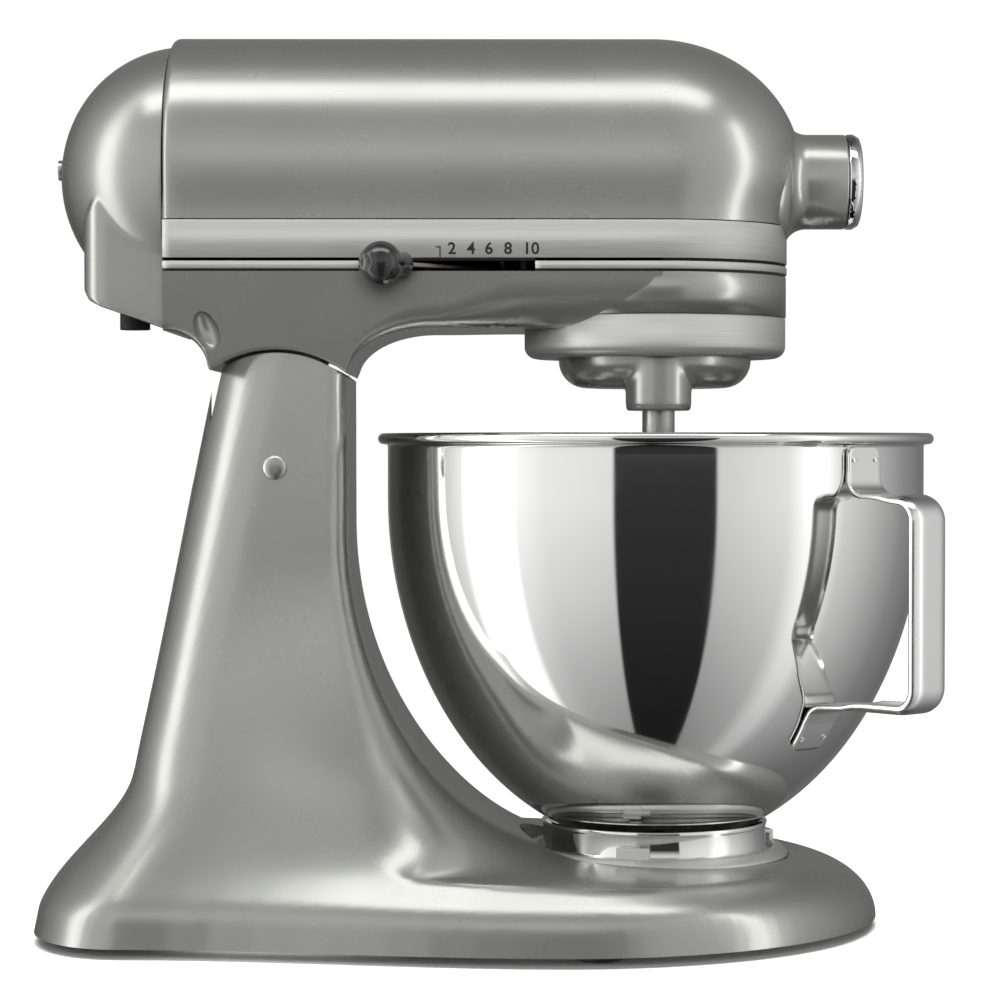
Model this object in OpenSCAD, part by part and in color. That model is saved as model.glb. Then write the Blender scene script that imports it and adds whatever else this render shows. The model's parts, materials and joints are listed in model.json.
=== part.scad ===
// Tilt-head stand mixer, in millimetres. +X is the front (the attachment hub's side), -Y the side of the
// speed lever, +Z up. The origin is the middle of the footprint, on the surface that the feet stand on.

/* [Base and column] */
// Rear end of the base, as the distance behind the origin
base_back = 176; // [170:1:180]
// Reach of the base in front of the bowl's axis
base_reach = 88.2; // [85:0.1:92]
// Half width of the base at its widest
base_half_w = 111; // [105:1:114]
// Height of the base's lower edge above the surface
base_gap = 4; // [3:0.5:5]
// Height of the flat deck that the bowl stands on
deck_z = 27; // [25:0.5:29]
// Half width of the column at its top
column_half_w = 48; // [46:0.5:50]
// Wall of the hollow casting
base_wall = 5; // [4:0.5:6]

/* [Hinge] */
// Hinge pin, distance behind the origin
pin_back = 82.6; // [81:0.1:84]
// Hinge pin, height
pin_z = 182; // [180:0.5:184]
// Hinge pin, radius
pin_r = 4.75; // [4:0.25:5]
// Radius of the column's rounded top about the hinge pin
knuckle_r = 44; // [43:0.5:45]

/* [Head] */
// Radius of the upper half of the head
head_r = 53.5; // [52:0.5:54]
// Height of the head's long axis
head_z = 298.5; // [297:0.5:300]
// Half width of the head at the trim band
head_half_w = 52.5; // [51:0.5:53]
// Length of the rounded nose
nose_len = 60; // [56:1:62]
// Wall of the head's castings
head_wall = 3.5; // [3:0.5:4]
// Radius of the attachment hub
hub_r = 18.8; // [18:0.1:20]

/* [Bowl] */
// Outer radius of the bowl under its rim
bowl_r = 106.6; // [104:0.1:107]
// Depth of the bowl's rounded part
bowl_depth = 140; // [136:1:142]
// Radius of the rolled rim's outer edge
rim_r = 110.5; // [109:0.5:111]
// Height of the rim's top
rim_top = 195.3; // [194:0.1:196]
// Turn of the handle from the front towards the lever side, in degrees
handle_turn = 47; // [30:1:50]

/* [Hidden] */
$fn = 64;

paint = [0.55, 0.555, 0.53];
steel = [0.75, 0.75, 0.76];
dark = [0.18, 0.18, 0.18];
cast_grey = [0.5, 0.5, 0.5];

bowl_x = rim_r + 65.5 - 110.5;          // the bowl's and the planetary's axis
pin_x = -pin_back;
seam_x = -125.5;                        // rear cover's seam
split_z = 267;                          // joint between the head's two castings, under the trim band
band_low = 257;
band_high = 277;
band_t = 1.2;
floor_z = 245;                          // inside floor of the lower casting
under_z = 236;                          // underside of the head
ring_low = 225;                         // drip ring, lower and upper edge
ring_high = 241;
ring_r = 52;
hub_z = 295.5;
hub_end = 141.2;
hub_bore_r = 12.75;
beater_off = 27;                        // beater shaft's distance from the planetary's axis
beater_y = -beater_off;
shaft_r = 6.35;
run_gap = 0.05;                         // radial clearance of a running fit
fit_gap = 0.02;                         // radial clearance of parts that are fixed to each other
tongue_half_w = 24;
eye_r = 18;
slot_half_w = 33;                       // the fork between the column's cheeks
skirt_r = knuckle_r + 1.2;
wheel_x = bowl_x - sqrt(40 * 40 - 28 * 28);   // worm wheel's upright shaft
wheel_y = 28;
worm_r = 8;
wheel_r = 20;
wheel_teeth = 24;
worm_starts = 4;
worm_half = 15;
worm_lead = 2 * PI * wheel_r * worm_starts / wheel_teeth;
lever_x = 20;                           // pivot of the speed lever
lever_y = -4;
lever_z = 259.1;
lever_len = 87.3;
lever_rest = 225.3;
lock_x = -72;
lock_z = 243;

// ---------- shapes that repeat ----------

module xcyl(x0, x1, r, y = 0, z = head_z) translate([x0, y, z]) rotate([0, 90, 0]) cylinder(h = x1 - x0,
    r = r);
module ycyl(y0, y1, r, x, z) translate([x, y0, z]) rotate([-90, 0, 0]) cylinder(h = y1 - y0, r = r);
module zcyl(z0, z1, r, x = bowl_x, y = 0) translate([x, y, z0]) cylinder(h = z1 - z0, r = r);
module xtube(x0, x1, ro, ri, y = 0, z = head_z) difference() {
    xcyl(x0, x1, ro, y, z);
    xcyl(x0 - 1, x1 + 1, ri, y, z);
}
module ztube(z0, z1, ro, ri, x = bowl_x, y = 0) difference() {
    zcyl(z0, z1, ro, x, y);
    zcyl(z0 - 1, z1 + 1, ri, x, y);
}
module block(lo, hi) translate(lo) cube(hi - lo);
// A solid of revolution about an axis along +X; the profile's points are [radius, distance along X].
module turned_x(x, z, points) translate([x, 0, z]) rotate([0, 90, 0]) rotate_extrude() polygon(points);
// A flat shape drawn in X and Z, made thick along Y.
module upright(y0, y1) translate([0, y1, 0]) rotate([90, 0, 0]) linear_extrude(y1 - y0) children();
module screw(r_head, h_head, r, length) {
    difference() {
        cylinder(h = h_head, r = r_head);
        translate([-r_head, -0.5, h_head - 1]) cube([2 * r_head, 1, 2]);
    }
    translate([0, 0, -length]) cylinder(h = length, r = r);
}

function clamp01(t) = max(0, min(1, t));
function smooth(t) = let(u = clamp01(t)) u * u * (3 - 2 * u);
function mix(a, b, t) = a + (b - a) * t;
function arc(cx, cy, rx, ry, a0, a1, n) = [for (i = [0:n]) let(a = mix(a0, a1, i / n)) [cx + rx * cos(a),
    cy + ry * sin(a)]];

// ---------- gears ----------

function involute(r, rb) = let(a = acos(min(1, rb / r))) tan(a) - a * PI / 180;
// Half of a tooth's angle at radius r, in degrees, for 20 degree involute teeth thinned by slack.
function half_tooth(r, z, m, slack) = let(rp = z * m / 2, rb = rp * cos(20))
    90 / z - slack / rp * 180 / PI + (involute(rp, rb) - involute(max(r, rb), rb)) * 180 / PI;
function gear_points(z, m, slack, r_root, r_tip, steps = 3) = [for (i = [0:z - 1], side = [-1, 1],
    k = [0:steps])
    let(r = mix(r_root, r_tip, side < 0 ? k / steps : 1 - k / steps), a = i * 360 / z + side *
        half_tooth(r, z, m, slack))
    [r * cos(a), r * sin(a)]];
module gear2d(z, m, slack = 0.08) polygon(gear_points(z, m, slack, z * m / 2 - 1.25 * m, z * m / 2 +
    0.95 * m));

// Bevel gears: a crown of radius bevel_big meets one of radius bevel_small, both cut to 0.7 of the cone.
bevel_big = 24;
bevel_small = 12;
bevel_in = 0.7;
function bevel_points(z, r_root, r_tip) = [for (i = [0:z - 1], p = [[-0.36, r_root], [-0.17, r_tip],
    [0.17, r_tip], [0.36, r_root]])
    let(a = (i + p[0] * 0.94) * 360 / z) [p[1] * cos(a), p[1] * sin(a)]];

// ---------- base and column ----------

// The casting's level sections: each is a closed outline with a straight back, two rear corners, two sides and
// two front corners, and every measure below is a function of the height z.
sweep_x = bowl_x - 19.1;                // end of the elliptical sweep from the column to the deck
sweep_z = 160;
sweep_a = 102;
sweep_b = sweep_z - deck_z - 3;
deck_x = bowl_x + base_reach - 30;
function flare(z, low, high) = 1 - smooth((z - low) / (high - low));
function back_x(z) = -base_back + 25 + 0.194 * z - 25.8 * flare(z, 12, 64);
function front_x(z) =
    z <= deck_z ? deck_x + 30 * sqrt(max(0, 1 - pow((z - base_gap) / (deck_z - base_gap), 2))) :
    z <= deck_z + 3 ? mix(deck_x, sweep_x, (z - deck_z) / 3) :
    z <= sweep_z ? sweep_x - sweep_a * sqrt(max(0, 1 - pow((sweep_z - z) / sweep_b,
        2))) : sweep_x - sweep_a;
// Share of the sides' flare: a small shoulder below shoulder_z, a long hollow curve above it
shoulder_z = 22;
bell_top = 150;
function bell(z) = z < shoulder_z ? 1 - 0.12 * pow(max(0, z - 8) / (shoulder_z - 8), 2) :
    0.88 * pow(max(0, bell_top - z) / (bell_top - shoulder_z), 2);
function side_y(z) = column_half_w + 0.055 * (220 - z) + (base_half_w - column_half_w - 11.9) * bell(z);
function back_y(z) = side_y(z) - 20 * bell(z);
corner_r = 9;                           // radius of the column's front corners
// Front corners: below the deck the front is one ellipse about toe_x, above it they shrink up the column.
toe_x = bowl_x - 38;
function above_deck(z) = clamp01((z - deck_z) / 3);
function corner_x(z) = mix(front_x(min(z, deck_z)) - toe_x, corner_r + 61 * exp(-max(0, z - 30) / 28),
    above_deck(z));
function corner_y(z) = mix(side_y(z), min(side_y(z), corner_r + 77 * exp(-max(0, z - 30) / 28)),
    above_deck(z));
function back_rx(z) = mix(30, 38, flare(z, 8, 80));
function back_ry(z) = mix(30, 50, flare(z, 8, 80));

function half_outline(z, inset) = let(
    h = z + inset, xb = back_x(h) + inset, xf = front_x(h) - inset, ys = side_y(h) - inset,
        yb = back_y(h) - inset,
    rx = back_rx(h) - inset, ry = back_ry(h) - inset,
    fx = max(1, corner_x(h) - inset), fy = max(1, corner_y(h) - inset))
    concat([[xb, 0]],
        [for (a = [180, 158, 135, 112, 90]) [xb + rx + rx * cos(a), yb - ry + ry * sin(a)]],
        [for (t = [0.33, 0.67]) [mix(xb + rx, xf - fx, t), mix(yb, ys, smooth(t))]],
        [for (a = [90, 78, 66, 54, 40, 26, 12, 4]) [xf - fx + fx * cos(a), ys - fy + fy * sin(a)]],
        [[xf, 0]]);
function ring_of(z, inset) = let(h = half_outline(z, inset), n = len(h))
    concat(h, [for (i = [n - 2:-1:1]) [h[i][0], -h[i][1]]]);
module loft(levels, inset) {
    rings = [for (z = levels) [for (p = ring_of(z, inset)) [p[0], p[1], z]]];
    n = len(rings[0]);
    last = len(rings) - 1;
    points = concat([for (r = rings) each r], [[-100, 0, levels[0]], [-85, 0, levels[last]]]);
    low = n * (last + 1);
    polyhedron(points, concat(
        [for (k = [0:last - 1], i = [0:n - 1]) let(j = (i + 1) % n) each
            [[k * n + i, k * n + j, (k + 1) * n + j], [k * n + i, (k + 1) * n + j, (k + 1) * n + i]]],
        [for (i = [0:n - 1]) [low, (i + 1) % n, i]],
        [for (i = [0:n - 1]) [low + 1, last * n + i, last * n + (i + 1) % n]]));
}
outer_levels = [base_gap, 10, 15, 19, 22, 24.5, 26, 27, 28.5, 30, 31.5, 34, 38, 43, 49, 56, 64, 74, 86,
    100, 118,
    138, 160, 228];
inner_levels = [base_gap - 1, 10, 14, 18, 20.5, 21.7, 25.3, 29, 34, 44, 58, 78, 104, 140];
foot_places = [[135, 0], [40, 88], [40, -88], [-150, 56], [-150, -56]];
clamp_angles = [30, 150, 270];

module pedestal() color(paint) difference() {
    loft(outer_levels, 0);
    difference() {
        loft(inner_levels, base_wall);
        for (p = foot_places) zcyl(0, 40, 11, p[0], p[1]);
        for (a = clamp_angles) zcyl(0, 40, 7, bowl_x + 30 * cos(a), 30 * sin(a));
    }
    for (p = foot_places) {
        zcyl(0, 7, 9.2, p[0], p[1]);
        zcyl(6, 16, 2, p[0], p[1]);
    }
    zcyl(deck_z - 0.5, 80, 54);
    for (a = clamp_angles) zcyl(15, 40, 2, bowl_x + 30 * cos(a), 30 * sin(a));
    // round the column's top about the hinge pin
    upright(-70, 70) difference() {
        translate([-150, 195]) square([140, 60]);
        translate([pin_x, pin_z]) circle(knuckle_r, $fn = 96);
    }
    // the fork that the head's tongue swings in, open at the back above the pin
    block([pin_x - 26.5, -slot_half_w, 150], [-62.6, slot_half_w, 240]);
    block([-150, -slot_half_w, pin_z - 6], [-80, slot_half_w, 240]);
    ycyl(-70, 70, pin_r + fit_gap, pin_x, pin_z);
    ycyl(32, 47.2, 2.5 + fit_gap, -66, 203);
    translate([pin_x, -40.5, 120]) cylinder(h = pin_z - 120, r = 2 + fit_gap);
    translate([-59, 0, 205]) cylinder(h = 60, r = 2.5 + fit_gap);
}

module rubber_feet() color(dark) for (p = foot_places) difference() {
    zcyl(0, 6.5, 9, p[0], p[1]);
    zcyl(-1, 3, 4.5, p[0], p[1]);
    zcyl(2, 10, 2.1, p[0], p[1]);
}
module foot_screws() color(steel) for (p = foot_places) translate([p[0], p[1], 3]) mirror([0, 0, 1])
    screw(3.8, 2, 1.95, 12.5);

// Bayonet plate with three hooks
module clamping_plate() color(steel) difference() {
    union() {
        translate([bowl_x, 0, deck_z - 0.5]) rotate_extrude() polygon([[0, 0], [53.2, 0], [53.2, 1.8],
            [50.6, 4.8],
            [47.6, 4.8], [47, 4.2], [47, 1.8], [0, 1.8]]);
        for (a = [-103, 17, 137]) translate([bowl_x, 0, 0]) rotate([0, 0, a]) {
            block([47.2, -6.4, 30], [49, 6.4, 35.5]);
            block([45.2, -6.4, 34], [48, 2, 35.5]);
        }
    }
    for (a = clamp_angles) zcyl(20, 40, 2.2, bowl_x + 30 * cos(a), 30 * sin(a));
}
module clamp_screws() color(steel) for (a = clamp_angles) translate([bowl_x + 30 * cos(a), 30 * sin(a),
    28.3]) screw(4, 1.6, 1.95, 11);
module height_screw() color(steel) translate([-59, 0, 210]) cylinder(h = 8.4, r = 2.5);

module hinge_pin() color(steel) {
    ycyl(-50.4, 46, pin_r, pin_x, pin_z);
    translate([pin_x, -50.4, pin_z]) rotate([90, 0, 0]) rotate_extrude() polygon([[0, 0], [4.6, 0], [4.3,
        0.8], [3, 1.3], [0, 1.5]]);
}
module hinge_set_screw() color(steel) translate([pin_x, -40.5, 166]) cylinder(h = pin_z - pin_r - 166,
    r = 2);
module lock_catch_pin() color(steel) ycyl(25, 47, 2.5, -66, 203);

// ---------- bowl ----------

bowl_mid = 170;
function bowl_outer(z) = z >= bowl_mid ? bowl_r : bowl_r * sqrt(max(0,
    1 - pow((bowl_mid - z) / bowl_depth, 2)));
sheet = 0.9;
bowl_steps = 18;
module bowl() color(steel) translate([bowl_x, 0, 0]) rotate_extrude() polygon(concat(
    [[0, bowl_mid - bowl_depth]],
    [for (i = [1:bowl_steps]) let(a = 90 * i / bowl_steps) [bowl_r * sin(a), bowl_mid - bowl_depth *
        cos(a)]],
    [[bowl_r, rim_top - 4.4]],
    arc(rim_r - 2.2, rim_top - 2.2, 2.2, 2.2, -90, 90, 6),
    [[bowl_r - sheet, rim_top]],
    [for (i = [bowl_steps:-1:0]) let(a = 90 * i / bowl_steps) [(bowl_r - sheet) * sin(a),
        bowl_mid - (bowl_depth - sheet) * cos(a)]]));
foot_r = 44.5;
foot_top = 41.2;
module bowl_foot() color(steel) {
    translate([bowl_x, 0, 0]) rotate_extrude() polygon([[foot_r, 29], [foot_r, foot_top - 2], [foot_r +
        0.6, foot_top - 0.2],
        [foot_r - 0.6, foot_top - 0.6], [foot_r - 1, foot_top - 2], [foot_r - 1, 29]]);
    for (a = [-103, 17, 137]) translate([bowl_x, 0, 0]) rotate([0, 0, a]) block([foot_r - 0.5, -7, 29.3],
        [46.4, 7, 31]);
}

// The handle is one strap, bent in the upright plane through the bowl's axis.
// Points are [distance from the axis, height].
strap_t = 1.8;
strap_gap = 0.1;
strap_half_w = 9.7;
weld_reach = 6.2;
grip_mid = 139.5;
arm_top = 171.6;
arm_low = 92.4;
tab_top = 190;
tab_low = 75;
bend_r = 7;
function bowl_slope(z) = pow(bowl_r / bowl_depth, 2) * (bowl_mid - z) / bowl_outer(z);
function on_bowl(z, d) = [bowl_outer(z) + d * sqrt(1 + pow(bowl_slope(z), 2)), z];
strap_mid = strap_gap + strap_t / 2;
low_turn = 90 - atan(bowl_slope(89));
low_bend = [on_bowl(89.6, strap_mid)[0] - bend_r * cos(90 + low_turn), arm_low - bend_r];
strap_path = concat([[bowl_r + strap_mid, tab_top], [bowl_r + strap_mid, arm_top + bend_r + 2]],
    arc(bowl_r + strap_mid + bend_r, arm_top + bend_r, bend_r, bend_r, 180, 270, 6),
    arc(grip_mid - 9, arm_top - 9, 9, 9, 90, 0, 7), arc(grip_mid - 9, arm_low + 9, 9, 9, 0, -90, 7),
    arc(low_bend[0], low_bend[1], bend_r, bend_r, 90, 90 + low_turn, 5),
    [on_bowl(85, strap_mid), on_bowl(80, strap_mid), on_bowl(tab_low, strap_mid)]);
function unit(v) = v / norm(v);
function strap_side(d) = let(p = strap_path, n = len(p) - 1)
    [for (i = [0:n]) let(t = unit(p[min(i + 1, n)] - p[max(i - 1, 0)])) [p[i][0] - d * t[1], p[i][1] +
        d * t[0]]];
module at_handle() translate([bowl_x, 0, 0]) rotate([0, 0, -handle_turn]) children();
module bowl_handle() color(steel) at_handle() upright(-strap_half_w, strap_half_w)
    polygon(concat(strap_side(strap_t / 2),
    [for (i = [len(strap_path) - 1:-1:0]) strap_side(-strap_t / 2)[i]]));
module handle_welds() color(steel) at_handle() for (y = [-weld_reach, weld_reach]) {
    translate([bowl_r + strap_gap + strap_t, y, 185]) rotate([0, 90, 0]) cylinder(h = 0.6, r = 1.1);
    translate([on_bowl(79, strap_gap + strap_t)[0], y, 79]) rotate([0, 90 + atan(bowl_slope(79)), 0])
        translate([0, 0, 0.1])
        cylinder(h = 0.6, r = 1.1);
}

// ---------- head castings ----------

function bullet(r, length, nose) = concat([[0, 0], [r, 0], [r, length]],
    [for (i = [1:11]) let(a = 90 * i / 12) [r * cos(a), length + nose * sin(a)]], [[0, length + nose]]);
module plan(w) polygon(concat([[seam_x, w], [seam_x, -w]], arc(bowl_x, 0, w, w, -90, 90, 24)));
module band_shape(z0, z1, w_out, w_in) translate([0, 0, z0]) linear_extrude(z1 - z0) difference() {
    plan(w_out);
    plan(w_in);
    translate([seam_x - 1, -w_in]) square([20, 2 * w_in]);
}
// Housing screws: place and the height that the head bears on
screw_places = [[-113, 40, 240], [-113, -40, 240], [6, 38, 240], [97, 28, 243.6], [97, -28, 243.6]];
guide_screw = [2.5, -38, 240];
screw_top = 278;

function upper_wall_y(x) = x > bowl_x ? 36 : head_half_w - head_wall - band_t + 0.8;
module upper_shell() difference() {
    union() {
        turned_x(seam_x, head_z, bullet(head_r, bowl_x - 1.5 - seam_x, nose_len));
        translate([0, 0, split_z]) linear_extrude(head_z - split_z) plan(head_half_w);
        xcyl(90, hub_end, hub_r, 0, hub_z);
    }
    turned_x(seam_x - 1, head_z, bullet(head_r - head_wall, bowl_x - 0.5 - seam_x, nose_len - head_wall));
    translate([-1, 0, split_z - 5]) linear_extrude(head_z - split_z + 5)
        plan(head_half_w - head_wall - band_t);
    block([seam_x - 5, -80, 200], [200, 80, split_z]);
    xcyl(100, hub_end + 1, 15, 0, hub_z);
    ycyl(0, 30, 3.05, 130, hub_z);
    band_shape(split_z - 1, band_high + 0.1, head_half_w + 9, head_half_w - band_t);
}
module upper_housing() color(paint) {
    upper_shell();
    difference() {
        for (p = screw_places) {
            zcyl(split_z, screw_top + 3, 5, p[0], p[1]);
            block([p[0] - 3, min(p[1], sign(p[1]) * upper_wall_y(p[0])), split_z],
                [p[0] + 3, max(p[1], sign(p[1]) * upper_wall_y(p[0])), screw_top + 3]);
        }
        for (p = screw_places) zcyl(200, screw_top, 2 + fit_gap, p[0], p[1]);
    }
}

module lower_profile() polygon(concat(
    [[seam_x, split_z]],
    arc(seam_x, 219.5, 17, 15, 90, 5, 7),
    arc(pin_x, pin_z, skirt_r, skirt_r, 124.5, 52.5, 18),
    arc(-22.3, 218.4, 32.2, under_z - 218.4, 175, 90, 9),
    [[140, under_z], [140, split_z]]));
module lower_housing() color(paint) difference() {
    union() {
        intersection() {
            upright(-60, 60) lower_profile();
            translate([0, 0, 200]) linear_extrude(70) plan(head_half_w - 0.3);
            translate([-140, 0, 0]) rotate([90, 0, 90]) linear_extrude(280) polygon([[-53.4, 270],
                [-52.6, 258],
                [-column_half_w - 0.3, 214], [column_half_w + 0.3, 214], [52.6, 258], [53.4, 270]]);
        }
        // tongue with the hinge eye
        upright(-tongue_half_w, tongue_half_w) {
            polygon([[-104, 219], [-104, 236], [-66, 236], [-66, 214], [pin_x + eye_r - 0.5, pin_z + 4],
                [pin_x - eye_r + 0.5, pin_z + 4]]);
            translate([pin_x, pin_z]) circle(eye_r);
        }
    }
    ycyl(-30, 30, pin_r + run_gap, pin_x, pin_z);
    // hollow inside, round the bosses for the shafts and screws
    difference() {
        translate([5, 0, floor_z]) linear_extrude(30) plan(head_half_w - 5.2);
        zcyl(200, 262, 16);
        zcyl(200, 262, 8, wheel_x, wheel_y);
        zcyl(200, 256, 6, lever_x, lever_y);
        for (p = screw_places) zcyl(200, 300, 5, p[0], p[1]);
        zcyl(200, guide_z, 5, guide_screw[0], guide_screw[1]);
    }
    zcyl(200, ring_high, ring_r + 0.4);
    zcyl(230, 270, 11 + fit_gap);
    zcyl(250, 270, 4 + run_gap, wheel_x, wheel_y);
    zcyl(249, 270, 2.5 + fit_gap, lever_x, lever_y);
    for (p = concat(screw_places, [guide_screw])) {
        zcyl(200, p[2], 4.2, p[0], p[1]);
        zcyl(200, 270, 2.1, p[0], p[1]);
    }
    // band recess and the slot for the speed lever
    band_shape(band_low - 0.1, split_z + 1, head_half_w + 9, head_half_w - band_t);
    block([-46, -60, 257.4], [16, -40, 260.8]);
    // lock shaft and the pocket for its hook
    ycyl(20, 70, 4 + run_gap, lock_x, lock_z);
    block([-92, tongue_half_w, 196], [-62, 32, 252]);
}

// The cover is a dome with a box-like chin under it.
dome_x = seam_x + 5.2;
dome_z = 296.5;
module dome(r, len) turned_x(dome_x, dome_z, arc(0, 0, r, len, -90, 90, 24));
module chin(d) {
    intersection() {
        upright(-60, 60) polygon([[seam_x + 1, 235 + d], [-151 + d, 244.2 + d], [-155.5 + d, 246.6 + d],
            [-158 + d, 251 + d],
            [-158 + d, 276], [-155.5 + d, 283], [seam_x + 1, 288]]);
        translate([0, 0, 200]) linear_extrude(100) polygon(concat(arc(-146, 23, 12 - d, 12 - d, 90, 180, 5),
            arc(-146, -23, 12 - d, 12 - d, 180, 270, 5), [[seam_x + 2, -41 + d], [seam_x + 2, 41 - d]]));
    }
}
module rear_cover() color(paint) difference() {
    union() {
        dome(52.3, 50.4);
        chin(0);
    }
    dome(49.3, 47.4);
    chin(3);
    block([seam_x, -80, 200], [0, 80, 400]);
    xcyl(-180, -140, 2 + fit_gap, 0, 300);
    zcyl(230, 250, 6 + fit_gap, -142, 0);
}
module rear_cover_screw() color(steel) translate([-170.7, 0, 300]) rotate([0, -90, 0]) screw(4, 1.5, 2, 12);
module cord_gland() color(dark) difference() {
    union() {
        zcyl(236.5, 250, 6, -142, 0);
        zcyl(250, 252, 8, -142, 0);
    }
    zcyl(230, 260, 3.6, -142, 0);
}
module trim_band() color(steel) difference() {
    band_shape(band_low, band_high, head_half_w, head_half_w - band_t + fit_gap);
    block([-46, -60, 257.4], [16, -40, 260.8]);
    difference() {
        translate([0, 0, 261]) linear_extrude(1) plan(head_half_w + 1);
        translate([0, 0, 260]) linear_extrude(3) plan(head_half_w - 0.4);
    }
}
module housing_screws() color(steel) {
    for (p = screw_places) translate(p) mirror([0, 0, 1]) screw(3.9, 2.4, 2, screw_top - p[2] - 0.3);
    translate(guide_screw) mirror([0, 0, 1]) screw(3.9, 2.4, 2, guide_z + 1 - guide_screw[2]);
}
// plate under the speed lever
guide_z = 256;
module lever_guide() color(dark) difference() {
    block([-44, -47, guide_z + 0.02], [14, -31, guide_z + 1.2]);
    zcyl(250, 260, 2 + fit_gap, guide_screw[0], guide_screw[1]);
}
module drip_ring() color(steel) translate([bowl_x, 0, 0]) rotate_extrude() polygon(concat(
    [[39.4, ring_low]], arc(ring_r - 4, ring_low + 4, 4, 4, -90, 0, 4),
    [[ring_r, ring_high - 0.1], [46.6, ring_high - 0.1], [46.6, ring_low + 1.3], [39.4, ring_low + 1.3]]));
module ring_gear() color(cast_grey) translate([bowl_x, 0, ring_low + 1.6]) linear_extrude(14.1)
    difference() {
    circle(46.4);
    polygon(gear_points(52, 1.5, -0.08, 39 - 1.3, 39 + 1.9));
}
module hub_sleeve() color(steel) difference() {
    xcyl(102, 137, 15 - fit_gap, 0, hub_z);
    xcyl(110, 138, hub_bore_r, 0, hub_z);
    xcyl(101, 120, 9 + run_gap, 0, hub_z);
    ycyl(0, 30, 3.05, 130, hub_z);
}

// ---------- motor and gears ----------

core_x0 = -92;
core_x1 = -48;
module motor_field() color(cast_grey) difference() {
    union() {
        xcyl(core_x0, core_x1, 44);
        // pads that sit in the housing's bore
        for (a = [-45, 45]) translate([0, 0, head_z]) rotate([a, 0, 0]) block([core_x0, -5, 40],
            [core_x1, 5, 49.6]);
    }
    xcyl(core_x0 - 1, core_x1 + 1, 24);
    for (s = [-1, 1]) block([core_x0 - 1, s > 0 ? 16 : -34, head_z - 17], [core_x1 + 1, s > 0 ? 34 : -16,
        head_z + 17]);
}
module field_coils() color([0.72, 0.38, 0.18]) for (s = [-1, 1])
    block([core_x0 - 5, s > 0 ? 25 : -33.5, head_z - 16.5], [core_x1 + 5, s > 0 ? 33.5 : -25, head_z +
        16.5]);
motor_fit_r = head_r - head_wall - 0.05;  // what the housing's bore takes
motor_half_w = 47.2;
module bearing_plate(x0, x1, bore) difference() {
    intersection() {
        xcyl(x0, x1, motor_fit_r);
        block([x0 - 1, -motor_half_w, 240], [x1 + 1, motor_half_w, 360]);
    }
    xcyl(x0 - 1, x1 + 1, bore);
    for (a = [45:90:315]) xcyl(x0 - 1, x1 + 1, 10, 31 * cos(a), head_z + 31 * sin(a));
}
module front_bearing_plate() color(cast_grey) difference() {
    bearing_plate(-28, -22, 9 + fit_gap);
    for (p = screw_places) zcyl(200, 300, 6, p[0], p[1]);
}
module rear_bearing_plate() color(cast_grey) difference() {
    bearing_plate(-119, -114, 9 + fit_gap);
    // room for the housing's screw bosses
    for (s = [-1, 1]) block([-120, s > 0 ? 33.9 : -60, 240], [-108, s > 0 ? 60 : -33.9, 281.5]);
}
module motor_bearings() color(steel) {
    xtube(-28, -22, 9, 4 + run_gap);
    xtube(-119, -114, 9, 4 + run_gap);
}
module brush_holders() color(dark) for (s = [-1, 1]) difference() {
    block([-111, s > 0 ? 16 : -36, head_z - 5], [-101, s > 0 ? 36 : -16, head_z + 5]);
    block([-109.1, s > 0 ? 15 : -34, head_z - 3.1], [-102.9, s > 0 ? 34 : -15, head_z + 3.1]);
}
module carbon_brushes() color(dark) for (s = [-1, 1])
    block([-109, s > 0 ? 13.2 : -28, head_z - 3], [-103, s > 0 ? 28 : -13.2, head_z + 3]);
module speed_board() color([0.15, 0.35, 0.2]) difference() {
    block([-134, -24, 260], [-131.5, 24, 284]);
    xcyl(-140, -120, 2, 18, 280);
}

module armature_shaft() color(steel) {
    xcyl(-128, 57, 4);
    translate([wheel_x, 0, head_z]) rotate([0, 90, 0]) translate([0, 0, -worm_half])
        linear_extrude(2 * worm_half, twist = -360 * 2 * worm_half / worm_lead, slices = 24)
        polygon([for (i = [0:worm_starts - 1], p = [[-33, 5.6], [-16, 8.9], [16, 8.9], [33, 5.6]])
            let(a = i * 360 / worm_starts + p[0]) [p[1] * cos(a), p[1] * sin(a)]]);
}
module armature_core() color(cast_grey) difference() {
    union() {
        xcyl(core_x0, core_x1, 23);
        xcyl(core_x0 - 5, core_x1 + 5, 17);
    }
    xcyl(-130, 0, 4 + fit_gap);
    for (a = [0:30:330]) translate([core_x0 - 1, 22 * cos(a), head_z + 22 * sin(a)]) rotate([0, 90, 0])
        cylinder(h = 50, r = 1.6);
}
module commutator() color([0.72, 0.45, 0.25]) xtube(-111, -101, 13, 4 + fit_gap);
module cooling_fan() color(dark) difference() {
    union() {
        xcyl(-42, -40, 38);
        xcyl(-42, -31, 9);
        for (a = [0:30:330]) translate([-40, 0, head_z]) rotate([a, 0, 0]) block([-0.5, 8, -0.8], [8, 38,
            0.8]);
    }
    xcyl(-43, -30, 4 + fit_gap);
}

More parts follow.
